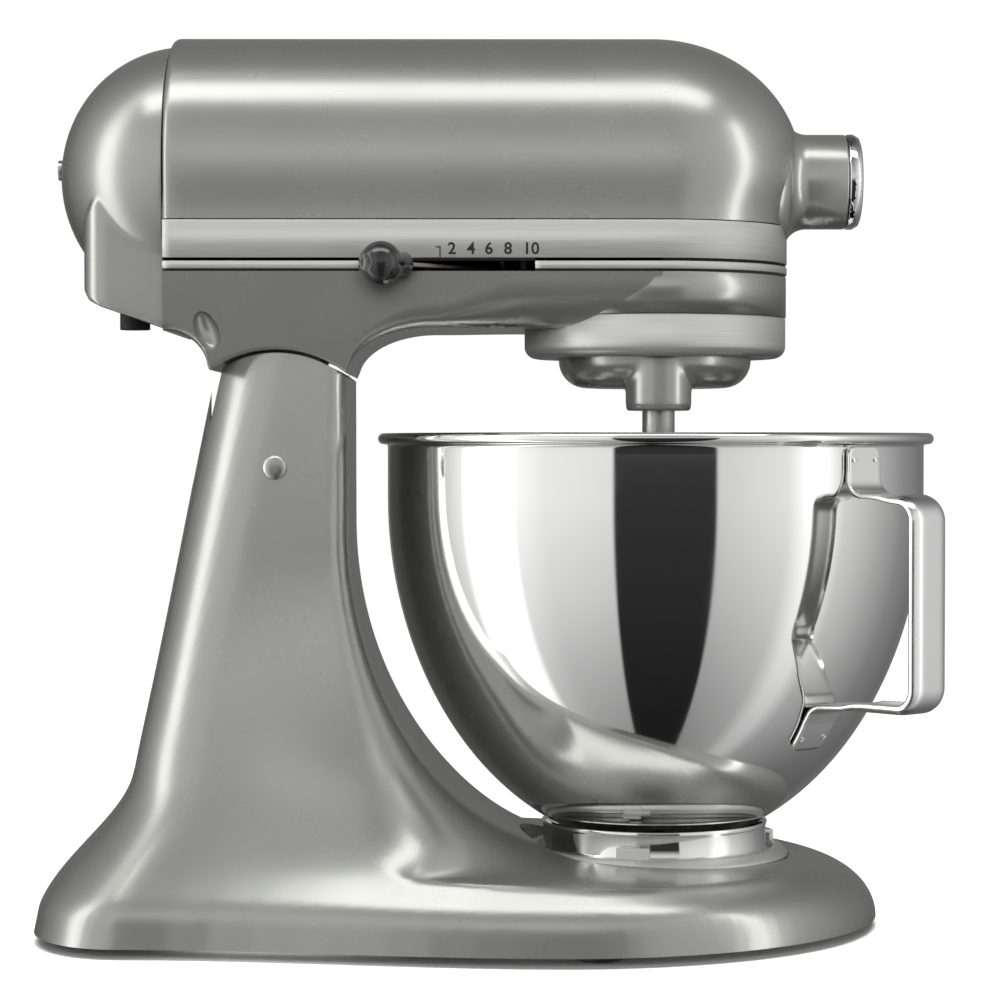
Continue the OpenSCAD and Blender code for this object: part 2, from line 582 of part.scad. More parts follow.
// The wheel's teeth lean as the worm's thread does, and stand between its turns.
wheel_half = 6;
wheel_lean = 180 / PI * worm_lead / (2 * PI * worm_r) * wheel_half / wheel_r;
thread_turn = (360 / worm_starts - (360 *
    worm_half / worm_lead) % (360 / worm_starts)) % (360 / worm_starts);
wheel_rest = -90 + thread_turn * worm_starts / wheel_teeth + 180 / wheel_teeth;
module worm_wheel() color([0.75, 0.6, 0.3]) difference() {
    translate([wheel_x, wheel_y, head_z - wheel_half]) rotate([0, 0, wheel_rest - wheel_lean])
        linear_extrude(2 * wheel_half, twist = -2 * wheel_lean, slices = 4)
        polygon([for (i = [0:wheel_teeth - 1], p = [[-4, 17.6], [-1.84, 21], [1.84, 21], [4, 17.6]])
            let(a = i * 360 / wheel_teeth + p[0]) [p[1] * cos(a), p[1] * sin(a)]]);
    zcyl(200, 400, 4 + fit_gap, wheel_x, wheel_y);
}
mesh_dir = atan2(wheel_y, wheel_x - bowl_x);
pinion_turn = mesh_dir + 180 - 180 / 16 + mesh_dir * 48 / 16;
module worm_wheel_shaft() color(steel) {
    zcyl(251, 316, 4, wheel_x, wheel_y);
    translate([wheel_x, wheel_y, 265]) rotate([0, 0, pinion_turn]) linear_extrude(14) gear2d(16, 1.25);
    zcyl(279, 291, 7, wheel_x, wheel_y);
}
module worm_bracket() color(cast_grey) difference() {
    union() {
        block([9, -25, 309], [57, 38, 314]);
        block([53, -9, 290], [57, 9, 314]);
        zcyl(314, 318, 8, wheel_x, wheel_y);
        for (p = [[32, -20], [14, 14]]) zcyl(floor_z, 310, 4, p[0], p[1]);
    }
    zcyl(300, 330, 4 + run_gap, wheel_x, wheel_y);
    xcyl(50, 60, 4 + run_gap);
}
module centre_gear() color(cast_grey) difference() {
    union() {
        zcyl(263, 268, 12);
        translate([bowl_x, 0, 268]) linear_extrude(9) gear2d(48, 1.25);
        zcyl(277, 281, 22);
        translate([bowl_x, 0, hub_z - bevel_small]) linear_extrude(bevel_small - bevel_small * bevel_in,
            scale = bevel_in)
            polygon(bevel_points(32, bevel_big - 3.4, bevel_big + 1.2));
        zcyl(280, 284, 22);
    }
    zcyl(200, 400, 6 + fit_gap);
}
module hub_drive_gear() color(cast_grey) difference() {
    union() {
        translate([bowl_x + bevel_big, 0, hub_z]) rotate([0, -90, 0]) rotate([0, 0, 180 / 16])
            linear_extrude(bevel_big - bevel_big * bevel_in, scale = bevel_in)
            polygon(bevel_points(16, bevel_small - 1.3, bevel_small + 0.4));
        xcyl(bowl_x + 24, bowl_x + 30, 10, 0, hub_z);
    }
    xcyl(80, 100, 4 + fit_gap, 0, hub_z);
}
module hub_drive_shaft() color(steel) difference() {
    union() {
        xcyl(84, 97, 4, 0, hub_z);
        xcyl(97, 122, 9, 0, hub_z);
    }
    block([104, -4.8, hub_z - 4.8], [123, 4.8, hub_z + 4.8]);
}
module centre_bush() color([0.75, 0.6, 0.3]) ztube(ring_high, 262, 11, 6 + run_gap);
module centre_shaft() color(steel) zcyl(215, 284, 6);
module speed_pivot() color(steel) {
    zcyl(250, 261.5, 2.5, lever_x, lever_y);
    zcyl(261, 262.5, 4.5, lever_x, lever_y);
}

// ---------- planetary and beater ----------

module planetary_hub() color(paint) difference() {
    union() {
        translate([bowl_x, 0, 0]) rotate_extrude() polygon(concat([[0, 213.5]],
            arc(38.1 - 11, 213.5 + 11, 11, 11, -90, 0, 6), [[38.1, 225.5], [9, 225.5], [9, 238], [0,
                238]]));
        zcyl(204, 224.4, 12.6, bowl_x, beater_y);
    }
    zcyl(214.5, 300, 6 + fit_gap);
    zcyl(200, 300, shaft_r + run_gap, bowl_x, beater_y);
    zcyl(203, 206, 9.5, bowl_x, beater_y);
}
module beater_shaft() color(steel) difference() {
    zcyl(164, 238.5, shaft_r, bowl_x, beater_y);
    xcyl(bowl_x - 20, bowl_x + 20, 2.4 + fit_gap, beater_y, 176);
}
pinion_rest = -90 + 90 * 52 / 16;
module beater_pinion() color(cast_grey) translate([bowl_x, beater_y, 227.5]) rotate([0, 0, pinion_rest])
    linear_extrude(11) difference() {
    gear2d(16, 1.5);
    circle(shaft_r + fit_gap);
}
module beater_spring() color(steel) ztube(204.5, 205.8, 9.2, shaft_r + 0.3, bowl_x, beater_y);

// Flat beater: a collar over the shaft, a hoop that keeps clear of the bowl on every side, and ribs.
module beater_pin() color(steel) xcyl(bowl_x - 9, bowl_x + 9, 2.4, beater_y, 176);
function beater_w(z) = min(62, bowl_outer(z) - beater_off - 4.5);
hoop_levels = [43, 47, 53, 61, 72, 86, 104, 120];
function hoop(inset) = let(levels = hoop_levels, r = beater_w(120) - inset) concat(
    [for (i = [len(levels) - 1:-1:0]) [-max(1, beater_w(levels[i]) - inset), levels[i] + inset]],
    [for (z = levels) [max(1, beater_w(z) - inset), z + inset]],
    arc(0, 122 + inset, r, 38 - 2 * inset, 0, 180, 12));
module beater() color([0.8, 0.8, 0.8]) translate([bowl_x, beater_y, 0]) difference() {
    union() {
        translate([0, 0, 150]) cylinder(h = 36, r = 9.8);
        upright(-4, 4) difference() {
            polygon(hoop(0));
            polygon(hoop(9));
        }
        upright(-3.5, 3.5) intersection() {
            polygon(hoop(5));
            union() {
                translate([-4, 40]) square([8, 115]);
                for (s = [-1, 1], h = [66, 96]) translate([0, h]) rotate(s > 0 ? 38 : 142) translate([0,
                    -3]) square([90, 6]);
            }
        }
    }
    translate([0, 0, 163]) cylinder(h = 40, r = shaft_r + fit_gap);
    translate([-20, -2.45, 173.5]) cube([40, 4.9, 20]);
}

// ---------- controls ----------

module at_lever() translate([lever_x, lever_y, lever_z]) rotate([0, 0, lever_rest]) children();
module speed_lever() color(steel) at_lever() difference() {
    union() {
        translate([0, -3, -0.8]) cube([lever_len - 6, 6, 1.6]);
        translate([0, 0, -0.8]) cylinder(h = 1.6, r = 6);
    }
    translate([0, 0, -5]) cylinder(h = 10, r = 2.5 + run_gap);
}
module speed_knob() color(dark) at_lever() difference() {
    union() {
        translate([lever_len, 0, 0]) sphere(8.5);
        translate([lever_len - 13, 0, 0]) rotate([0, 90, 0]) cylinder(h = 10, r = 5);
    }
    translate([lever_len - 20, -3.02, -0.82]) cube([14, 6.04, 1.64]);
}

lock_back = 20;                         // the hook's turn from its locked place, in degrees
module at_lock() translate([lock_x, 0, lock_z]) rotate([0, lock_back, 0]) children();
module lock_shaft() color(steel) {
    ycyl(26, 66, 4, lock_x, lock_z);
    at_lock() upright(26.5, 31) {
        circle(7);
        polygon([[-4.5, 0], [-4.5, -48], [9, -48], [9, -44], [1.5, -43], [1.5, 0]]);
    }
    at_lock() upright(61, 65) hull() {
        circle(6);
        translate([-20, 16]) circle(4.5);
    }
}
module lock_knob() color(dark) at_lock() translate([-20, 65, 16]) rotate([-90, 0, 0]) rotate_extrude()
    polygon([[0, 0], [4, 0], [4, 3], [8, 5], [8.5, 8], [8, 11], [5, 14], [0, 15]]);

module hub_cap() color(steel) turned_x(hub_end + 0.3, hub_z, [[0, -3.8], [14.8, -3.8], [14.8, 0], [18.6,
    0], [18.9, 0.6], [18.9, 2.6],
    [17.6, 4.8], [16, 5.4], [14.6, 4.6], [13, 4.2], [0, 4.8]]);
module hub_thumb_screw() color(dark) {
    ycyl(13.5, 26, 3, 130, hub_z);
    ycyl(19.2, 24, 5, 130, hub_z);
    ycyl(24, 34, 9, 130, hub_z);
}

pedestal();
rubber_feet();
foot_screws();
clamping_plate();
clamp_screws();
height_screw();
hinge_pin();
hinge_set_screw();
lock_catch_pin();
bowl();
bowl_foot();
bowl_handle();
handle_welds();
upper_housing();
lower_housing();
rear_cover();
rear_cover_screw();
cord_gland();
trim_band();
housing_screws();
drip_ring();
ring_gear();
hub_sleeve();
motor_field();
field_coils();
front_bearing_plate();
rear_bearing_plate();
motor_bearings();
brush_holders();
carbon_brushes();
speed_board();
worm_bracket();
centre_bush();
speed_pivot();
armature_shaft();
armature_core();
commutator();
cooling_fan();
worm_wheel();
worm_wheel_shaft();
centre_gear();
centre_shaft();
planetary_hub();
hub_drive_gear();
hub_drive_shaft();
beater_shaft();
beater_pin();
beater_pinion();
beater_spring();
beater();
lever_guide();
speed_lever();
speed_knob();
lock_shaft();
lock_knob();
hub_cap();
hub_thumb_screw();
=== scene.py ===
import json
import math

import bmesh
import bpy
import numpy as np
from mathutils import Matrix, Vector

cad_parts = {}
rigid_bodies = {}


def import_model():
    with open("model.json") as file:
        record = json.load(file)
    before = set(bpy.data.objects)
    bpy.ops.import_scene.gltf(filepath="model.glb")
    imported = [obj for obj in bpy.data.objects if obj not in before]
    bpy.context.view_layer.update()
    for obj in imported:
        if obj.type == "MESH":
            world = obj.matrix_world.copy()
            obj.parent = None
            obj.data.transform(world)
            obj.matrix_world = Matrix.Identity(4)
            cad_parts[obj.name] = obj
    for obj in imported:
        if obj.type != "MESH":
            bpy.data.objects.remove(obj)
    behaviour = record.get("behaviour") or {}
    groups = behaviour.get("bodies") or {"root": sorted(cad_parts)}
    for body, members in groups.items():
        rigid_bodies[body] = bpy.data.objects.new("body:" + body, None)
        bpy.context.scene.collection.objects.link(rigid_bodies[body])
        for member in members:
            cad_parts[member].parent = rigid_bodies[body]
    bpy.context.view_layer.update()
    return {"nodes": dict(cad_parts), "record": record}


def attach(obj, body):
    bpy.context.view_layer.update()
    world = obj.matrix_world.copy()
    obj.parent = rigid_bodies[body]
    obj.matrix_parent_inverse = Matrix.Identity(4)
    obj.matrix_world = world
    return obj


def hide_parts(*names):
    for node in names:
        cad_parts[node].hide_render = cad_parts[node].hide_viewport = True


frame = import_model()
nodes = frame["nodes"]
scene = bpy.context.scene
MM = 0.001

# ---------- measures shared with the CAD frame, in millimetres ----------
BOWL_X = 65.5
PIN_X, PIN_Z = -82.6, 182.0
SEAM_X = -125.5
HEAD_Z, HEAD_R, HEAD_W, NOSE = 298.5, 53.5, 52.5, 60.0
NOSE_X = 64.0
BAND_LOW, BAND_HIGH = 257.0, 277.0
UNDER_Z = 236.0
HUB_Z, HUB_R, HUB_END = 295.5, 18.8, 141.2


# ---------- materials ----------

def principled(name):
    m = bpy.data.materials.new(name)
    m.use_nodes = True
    return m, m.node_tree, m.node_tree.nodes["Principled BSDF"]


def noise(tree, scale, detail=2.0, stretch=None, rough=0.5):
    """A noise texture on object coordinates, stretched per axis when asked."""
    coord = tree.nodes.new("ShaderNodeTexCoord")
    mapping = tree.nodes.new("ShaderNodeMapping")
    if stretch:
        mapping.inputs["Scale"].default_value = stretch
    tree.links.new(coord.outputs["Object"], mapping.inputs["Vector"])
    n = tree.nodes.new("ShaderNodeTexNoise")
    n.inputs["Scale"].default_value = scale
    n.inputs["Detail"].default_value = detail
    n.inputs["Roughness"].default_value = rough
    tree.links.new(mapping.outputs["Vector"], n.inputs["Vector"])
    return n.outputs["Fac"]


def ramp(tree, fac, low, high, a=0.3, b=0.7):
    """Maps a noise, or the floor's ambient occlusion for its painted contact shadow, onto colours or greys."""
    r = tree.nodes.new("ShaderNodeValToRGB")
    r.color_ramp.elements[0].position = a
    r.color_ramp.elements[1].position = b
    lo = low if isinstance(low, (tuple, list)) else (low, low, low)
    hi = high if isinstance(high, (tuple, list)) else (high, high, high)
    r.color_ramp.elements[0].color = (*lo, 1)
    r.color_ramp.elements[1].color = (*hi, 1)
    tree.links.new(fac, r.inputs["Fac"])
    return r.outputs["Color"]


def combine(tree, mode, a, b):
    """Two colours in one: multiplied, or the lighter of the two."""
    node = tree.nodes.new("ShaderNodeMix")
    node.data_type = "RGBA"
    node.blend_type = mode
    node.inputs["Factor"].default_value = 1.0
    tree.links.new(a, node.inputs["A"])
    tree.links.new(b, node.inputs["B"])
    return node.outputs["Result"]


def bump(tree, bsdf, fac, strength, distance):
    b = tree.nodes.new("ShaderNodeBump")
    b.inputs["Strength"].default_value = strength
    b.inputs["Distance"].default_value = distance
    tree.links.new(fac, b.inputs["Height"])
    tree.links.new(b.outputs["Normal"], bsdf.inputs["Normal"])


def tint(c, k):
    return tuple(min(1.0, x * k) for x in c)


def surface(name, color, metallic, low, high, scale=60, spread=0.06, coat=0.0, coat_rough=0.03,
            grain=0.0, grain_scale=1500, stretch=None, aniso=0.0):
    """Procedural finish: colour and roughness drift on noise, and a fine grain for the bump."""
    m, t, b = principled(name)
    n = noise(t, scale, 3, stretch)
    t.links.new(ramp(t, n, tint(color, 1 - spread), tint(color, 1 + spread)), b.inputs["Base Color"])
    b.inputs["Metallic"].default_value = metallic
    n2 = noise(t, scale * 2.3, 4, stretch)
    t.links.new(ramp(t, n2, low, high), b.inputs["Roughness"])
    b.inputs["Coat Weight"].default_value = coat
    b.inputs["Coat Roughness"].default_value = coat_rough
    b.inputs["Anisotropic"].default_value = aniso
    if grain:
        bump(t, b, noise(t, grain_scale, 2, stretch), grain, 0.0001)
    return m


def metallic_paint():
    """Metallic enamel: fine flakes in the colour and the normal, under a clear coat."""
    m, t, b = principled("metallic_paint")
    flakes = noise(t, 5200, 1)
    drift = noise(t, 9, 2)
    speckled = ramp(t, flakes, (0.352, 0.358, 0.331), (0.402, 0.408, 0.38))
    t.links.new(combine(t, "MULTIPLY", speckled, ramp(t, drift, 0.96, 1.0)), b.inputs["Base Color"])
    b.inputs["Metallic"].default_value = 0.55
    t.links.new(ramp(t, noise(t, 30, 3), 0.25, 0.29), b.inputs["Roughness"])
    b.inputs["Coat Weight"].default_value = 0.35
    b.inputs["Coat Roughness"].default_value = 0.12
    bump(t, b, flakes, 0.012, 0.00005)
    return m


PAINT = metallic_paint()
BRUSHED = surface("brushed_band", (0.6, 0.6, 0.59), 0.45, 0.3, 0.45, scale=1.0, spread=0.08,
                  grain=0.15, grain_scale=1.0, stretch=(18, 18, 2600), aniso=0.5)
POLISHED = surface("polished_steel", (0.82, 0.82, 0.815), 1.0, 0.035, 0.075, scale=14, spread=0.015)
HANDLE_STEEL = surface("handle_steel", (0.86, 0.86, 0.855), 1.0, 0.16, 0.24, scale=40, spread=0.02,
                       grain=0.05, grain_scale=900)
CHROME = surface("chrome", (0.8, 0.8, 0.8), 1.0, 0.04, 0.09, scale=50, spread=0.02)
SATIN = surface("satin_steel", (0.66, 0.66, 0.65), 0.55, 0.26, 0.38, scale=90, spread=0.05, grain=0.08)
ZINC = surface("plated_steel", (0.5, 0.5, 0.49), 1.0, 0.3, 0.45, scale=200, spread=0.08, grain=0.1)
IRON = surface("machined_iron", (0.3, 0.3, 0.31), 1.0, 0.4, 0.55, scale=300, spread=0.12, grain=0.2)
ALU = surface("burnished_aluminium", (0.62, 0.63, 0.64), 1.0, 0.32, 0.5, scale=160, spread=0.08, grain=0.15)
BRONZE = surface("bearing_bronze", (0.52, 0.33, 0.14), 1.0, 0.3, 0.45, scale=200, spread=0.1, grain=0.1)
COPPER = surface("copper_winding", (0.6, 0.24, 0.1), 1.0, 0.3, 0.5, scale=20, spread=0.15,
                 grain=0.5, grain_scale=60, stretch=(1, 40, 1))
CARBON = surface("carbon", (0.03, 0.03, 0.03), 0.2, 0.5, 0.65, scale=400, spread=0.2, grain=0.2)
BOARD = surface("board", (0.03, 0.14, 0.06), 0.0, 0.35, 0.5, scale=120, spread=0.2)
PLASTIC = surface("dark_plastic", (0.018, 0.018, 0.019), 0.0, 0.42, 0.55, scale=300, spread=0.15, grain=0.25)
BLACK = surface("gloss_black", (0.022, 0.022, 0.023), 0.0, 0.16, 0.24, scale=120, spread=0.1, coat=0.4,
                coat_rough=0.08, grain=0.03)
RUBBER = surface("rubber", (0.02, 0.02, 0.02), 0.0, 0.65, 0.8, scale=250, spread=0.2, grain=0.3)
INK = surface("dial_ink", (0.012, 0.012, 0.012), 0.0, 0.45, 0.55, scale=500, spread=0.1)
LEVER = surface("lever_steel", (0.3, 0.27, 0.22), 1.0, 0.3, 0.42, scale=200, spread=0.1, grain=0.1)

NODE_MATERIAL = {
    "paint": PAINT, "polished_steel": POLISHED, "chrome": CHROME, "brushed_band": BRUSHED,
    "satin_steel": SATIN, "zinc_steel": ZINC, "grey_iron": IRON, "cast_aluminium": ALU,
    "bronze": BRONZE, "copper": COPPER, "carbon": CARBON, "board": BOARD,
    "dark_plastic": PLASTIC, "gloss_black": BLACK, "rubber": RUBBER}
SLOT_OF = {s["node"]: s["material_slot"] for s in frame["record"]["subparts"]}
for name, obj in nodes.items():
    obj.data.materials.clear()
    obj.data.materials.append(NODE_MATERIAL[SLOT_OF[name]])
nodes["speed_lever"].data.materials[0] = LEVER


def dress_cad(obj, width):
    """A CAD node keeps its mesh; its edges are softened and its curves shaded evenly by modifiers."""
    custom = obj.data.attributes.get("custom_normal")
    if custom:
        obj.data.attributes.remove(custom)
    for p in obj.data.polygons:
        p.use_smooth = True
    w = obj.modifiers.new("weld", "WELD")
    w.merge_threshold = 2e-6
    b = obj.modifiers.new("edges", "BEVEL")
    b.width = width * MM
    b.segments = 2
    b.limit_method = "ANGLE"
    b.angle_limit = math.radians(40)
    b.use_clamp_overlap = True
    n = obj.modifiers.new("normals", "WEIGHTED_NORMAL")
    n.keep_sharp = True


EDGE_WIDTH = 0.25
for name in ("rubber_feet", "cord_gland", "rear_cover_screw", "hub_thumb_screw", "lock_shaft", "lock_knob",
             "hub_cap", "speed_lever", "beater", "beater_shaft", "beater_pin", "hub_sleeve", "handle_welds",
             "hub_drive_shaft"):
    dress_cad(nodes[name], EDGE_WIDTH)


# ---------- mesh tools ----------

def new_object(name, verts, faces, material, smooth=True):
    """Vertices in millimetres in the row frame become an object in metres."""
    mesh = bpy.data.meshes.new(name)
    mesh.from_pydata([tuple(float(c) * MM for c in v) for v in verts], [], faces)
    mesh.validate()
    ob = bpy.data.objects.new(name, mesh)
    scene.collection.objects.link(ob)
    mesh.materials.append(material)
    bm = bmesh.new()
    bm.from_mesh(mesh)
    bmesh.ops.remove_doubles(bm, verts=bm.verts, dist=2e-6)
    bmesh.ops.dissolve_degenerate(bm, dist=1e-6, edges=bm.edges)
    bmesh.ops.recalc_face_normals(bm, faces=bm.faces)
    bm.to_mesh(mesh)
    bm.free()
    for p in mesh.polygons:
        p.use_smooth = smooth
    return ob


def grid(name, P, material, close_i=False, close_j=False, caps=False):
    """A surface through a grid of points P[i][j]."""
    P = np.asarray(P, float)
    ni, nj = P.shape[:2]
    verts = P.reshape(-1, 3)
    faces = []
    for i in range(ni if close_i else ni - 1):
        for j in range(nj if close_j else nj - 1):
            a, b = i * nj + j, i * nj + (j + 1) % nj
            c, d = ((i + 1) % ni) * nj + (j + 1) % nj, ((i + 1) % ni) * nj + j
            faces.append((a, b, c, d))
    if caps:
        faces.append(tuple(range(nj)))
        faces.append(tuple(range((ni - 1) * nj, ni * nj)))
    return new_object(name, verts, faces, material)


def lathe(name, profile, material, axis="z", centre=(0, 0, 0), n=128):
    """Turns [radius, distance along the axis] about an axis through centre."""
    P = []
    for k in range(n):
        a = 2 * math.pi * k / n
        row = []
        for r, h in profile:
            c, s = r * math.cos(a), r * math.sin(a)
            row.append({"z": (c, s, h), "x": (h, c, s), "y": (c, h, s)}[axis])
        P.append(row)
    P = np.asarray(P) + np.asarray(centre)
    return grid(name, P, material, close_i=True)


def prism_y(name, points, y0, y1, material):
    """A flat outline in X and Z, made thick along Y."""
    n = len(points)
    verts = [(x, y0, z) for x, z in points] + [(x, y1, z) for x, z in points]
    faces = [tuple(range(n)), tuple(range(2 * n - 1, n - 1, -1))]
    faces += [(i, (i + 1) % n, n + (i + 1) % n, n + i) for i in range(n)]
    return new_object(name, verts, faces, material, smooth=False)


def box_mm(name, lo, hi, material):
    corners = [(lo[0], lo[2]), (hi[0], lo[2]), (hi[0], hi[2]), (lo[0], hi[2])]
    return prism_y(name, corners, lo[1], hi[1], material)


def settle(obj):
    """Applies the modifiers: the object's mesh becomes what they made of it."""
    deps = bpy.context.evaluated_depsgraph_get()
    mesh = bpy.data.meshes.new_from_object(obj.evaluated_get(deps))
    obj.modifiers.clear()
    obj.data = mesh
    return mesh


def boolean(obj, tool, operation="DIFFERENCE"):
    """Cuts a tool out of an object, or keeps what both share; the tool is used up."""
    mod = obj.modifiers.new("cut", "BOOLEAN")
    mod.object = tool
    mod.operation = operation
    mod.solver = "EXACT"
    old = obj.data
    settle(obj)
    bpy.data.meshes.remove(old)
    bpy.data.objects.remove(tool)


def soften(obj, width, segments=2, angle=35):
    """Rounded edges where the angle is sharp, then even shading."""
    b = obj.modifiers.new("edges", "BEVEL")
    b.width = width * MM
    b.segments = segments
    b.limit_method = "ANGLE"
    b.angle_limit = math.radians(angle)
    b.use_clamp_overlap = True
    b.harden_normals = False
    w = obj.modifiers.new("normals", "WEIGHTED_NORMAL")
    w.keep_sharp = True
    w.weight = 80
    for p in obj.data.polygons:
        p.use_smooth = True


def smoothstep(t):
    u = min(1.0, max(0.0, t))
    return u * u * (3 - 2 * u)


def mix(a, b, t):
    return a + (b - a) * t


def arc(cx, cy, rx, ry, a0, a1, n):
    """Points along an ellipse from angle a0 to a1, in degrees."""
    turns = [math.radians(mix(a0, a1, i / n)) for i in range(n + 1)]
    return [(cx + rx * math.cos(a), cy + ry * math.sin(a)) for a in turns]


def melt(name, parts, voxel, rounds, material):
    """Joins closed shapes into one skin whose inner corners are filled and outer edges softened."""
    bm = bmesh.new()
    for o in parts:
        bm.from_mesh(o.data)
    mesh = bpy.data.meshes.new(name)
    bm.to_mesh(mesh)
    bm.free()
    for o in parts:
        bpy.data.objects.remove(o)
    ob = bpy.data.objects.new(name, mesh)
    scene.collection.objects.link(ob)
    r = ob.modifiers.new("skin", "REMESH")
    r.mode = "VOXEL"
    r.voxel_size = voxel * MM
    r.use_smooth_shade = True
    s = ob.modifiers.new("soften", "SMOOTH")
    s.factor = 0.5
    s.iterations = rounds
    done = settle(ob)
    done.materials.clear()
    done.materials.append(material)
    for p in done.polygons:
        p.use_smooth = True
    return ob


def relax(obj, rounds, share):
    """Smooths a skin in place; share gives each point its part of the smoothing, from 0 to 1."""
    group = obj.vertex_groups.new(name="relax")
    for v in obj.data.vertices:
        group.add([v.index], share(v.co / MM), "REPLACE")
    s = obj.modifiers.new("relax", "SMOOTH")
    s.factor = 0.5
    s.iterations = rounds
    s.vertex_group = "relax"
    settle(obj)


# ---------- base and column ----------
DECK_Z, DECK_RISE, BASE_GAP = 27.0, 3.0, 4.0
FOOT_Z = DECK_Z + DECK_RISE
SWEEP_X, SWEEP_Z, SWEEP_A = BOWL_X - 19.1, 160.0, 102.0
SWEEP_B = SWEEP_Z - FOOT_Z
TOE_REACH = 30
DECK_X = BOWL_X + 88.2 - TOE_REACH
TOE_X = BOWL_X - 38
CORNER_R, CORNER_FADE = 7, 28
COLUMN_TOP, COLUMN_HALF, COLUMN_TAPER = 220, 48, 0.055
SIDE_FLARE, BACK_NARROWING = 51.1, 20
WALL_Z, SHOULDER_Z, BELL_TOP = 14, 22, 150
WALL = 5.0
SLOT_HALF, REAR_SLOT_NEAR = 33, 25.4


def flare(z, low, high):
    return 1 - smoothstep((z - low) / (high - low))


def back_x(z):
    return -151 + 0.194 * z - 25.8 * flare(z, 12, 64)


def front_x(z):
    if z <= DECK_Z:
        return DECK_X + TOE_REACH * math.sqrt(max(0.0, 1 - ((z - BASE_GAP) / (DECK_Z - BASE_GAP)) ** 2))
    if z <= FOOT_Z:
        return mix(DECK_X, SWEEP_X, (z - DECK_Z) / DECK_RISE)
    share = math.sqrt(max(0.0, 1 - ((SWEEP_Z - z) / SWEEP_B) ** 2)) if z < SWEEP_Z else 1
    return SWEEP_X - SWEEP_A * share


def bell(z):
    """Share of the sides' flare: a rounded shoulder on a short wall, and a long hollow curve above it."""
    if z < SHOULDER_Z:
        return 1 - 0.07 * (max(0, z - WALL_Z) / (SHOULDER_Z - WALL_Z)) ** 2
    return 0.93 * (max(0, BELL_TOP - z) / (BELL_TOP - SHOULDER_Z)) ** 2.4


def side_y(z):
    return COLUMN_HALF + COLUMN_TAPER * (COLUMN_TOP - z) + SIDE_FLARE * bell(z)


def back_y(z):
    return side_y(z) - BACK_NARROWING * bell(z)


def half_outline(z, inset=0.0):
    """The casting's level section at height z: back, rear corner, side, front corner, front."""
    h = z + inset
    t = min(1.0, max(0.0, (h - DECK_Z) / DECK_RISE))
    xb, xf = back_x(h) + inset, front_x(h) - inset
    ys, yb = side_y(h) - inset, back_y(h) - inset
    rx, ry = mix(30, 38, flare(h, 8, 80)) - inset, mix(30, 50, flare(h, 8, 80)) - inset
    spread = math.exp(-max(0, h - FOOT_Z) / CORNER_FADE)
    fx = mix(front_x(min(h, DECK_Z)) - TOE_X, CORNER_R + 61 * spread, t)
    fy = mix(side_y(h), min(side_y(h), CORNER_R + 77 * spread), t)
    fx, fy = max(1, fx - inset), max(1, fy - inset)
    x_end = mix(xf - fx, TOE_X, flare(h, FOOT_Z, 75))

    def side_at(x):
        return mix(yb, ys, smoothstep((x - xb - rx) / (x_end - xb - rx)))

    yc = side_at(xf - fx)
    fy = min(fy, yc)
    pts = [(xb, 0.0), (xb, (yb - ry) / 2)]
    pts += arc(xb + rx, yb - ry, rx, ry, 180, 90, 16)
    pts += [(x, side_at(x)) for x in (mix(xb + rx, xf - fx, k / 10) for k in range(1, 10))]
    pts += arc(xf - fx, yc - fy, fx, fy, 90, 4, 26)
    pts += [(xf, 0.0)]
    return pts


def loft(name, levels, inset=0.0):
    """A closed skin through the level sections."""
    P = []
    for z in levels:
        h = half_outline(z, inset)
        P.append([(x, y, z) for x, y in h] + [(x, -y, z) for x, y in h[-2:0:-1]])
    return grid(name, P, PAINT, close_j=True, caps=True)


levels = list(np.linspace(BASE_GAP - 8, 26, 30)) + list(np.linspace(26.2, 31.5, 14)) + \
    list(np.linspace(32.5, 80, 36)) + list(np.linspace(83, 160, 22)) + list(np.linspace(166, 228, 8))
pedestal = melt("pedestal_casting", [loft("casting", levels)], 1.7, 0, PAINT)


def blend_share(p):
    """Strong where the column's foot meets the deck, slight elsewhere."""
    near_deck = smoothstep((p.z - 13) / 10) * (1 - smoothstep((p.z - 48) / 38))
    inner = 1 - smoothstep((abs(p.y) - 74) / 20)
    return max(0.06, near_deck * inner * (1 - 0.85 * smoothstep((p.x - 62) / 36)))


relax(pedestal, 52, blend_share)
boolean(pedestal, box_mm("floor_cut", (-200, -130, -30), (200, 130, BASE_GAP), PAINT))
hollow_levels = [3, 8, 12, 16, 19, 20.5, 21.7, 25.3, 28, 32, 40, 50, 64, 80, 104, 140]
boolean(pedestal, loft("hollow", hollow_levels, WALL))
top = [(-150, 195)] + arc(PIN_X, PIN_Z, 44, 44, 162.81, 17.19, 72) + [(-10, 195), (-10, 270), (-150, 270)]
boolean(pedestal, prism_y("arch", top, -80, 80, PAINT))
boolean(pedestal, box_mm("slot_a", (PIN_X - 26.5, -SLOT_HALF, 150), (-62.6, SLOT_HALF, 260), PAINT))
boolean(pedestal, box_mm("slot_b", (-150, -REAR_SLOT_NEAR, PIN_Z - 6), (-80, SLOT_HALF, 260), PAINT))
boolean(pedestal, lathe("recess", [(0, 26.5), (54, 26.5), (54, 80), (0, 80)], PAINT, centre=(BOWL_X, 0, 0)))
soften(pedestal, 1.2, 3, 40)
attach(pedestal, "stand")
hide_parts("pedestal")


# ---------- upper housing ----------

BEND_SHARE = 0.22
LIP_R = 3


def head_section(s):
    """Height, half width and nose length at s: 0 at the band, 1 at the ridge."""
    if s < BEND_SHARE:
        low = smoothstep(1 - s / BEND_SHARE)
        return mix(BAND_HIGH + 0.05, HEAD_Z, s / BEND_SHARE), mix(HEAD_R, HEAD_W, low), mix(NOSE, 54.2, low)
    ang = (s - BEND_SHARE) / (1 - BEND_SHARE) * math.pi / 2
    return HEAD_Z + (HEAD_R - 0.04) * math.sin(ang), HEAD_R * math.cos(ang), NOSE * math.cos(ang)


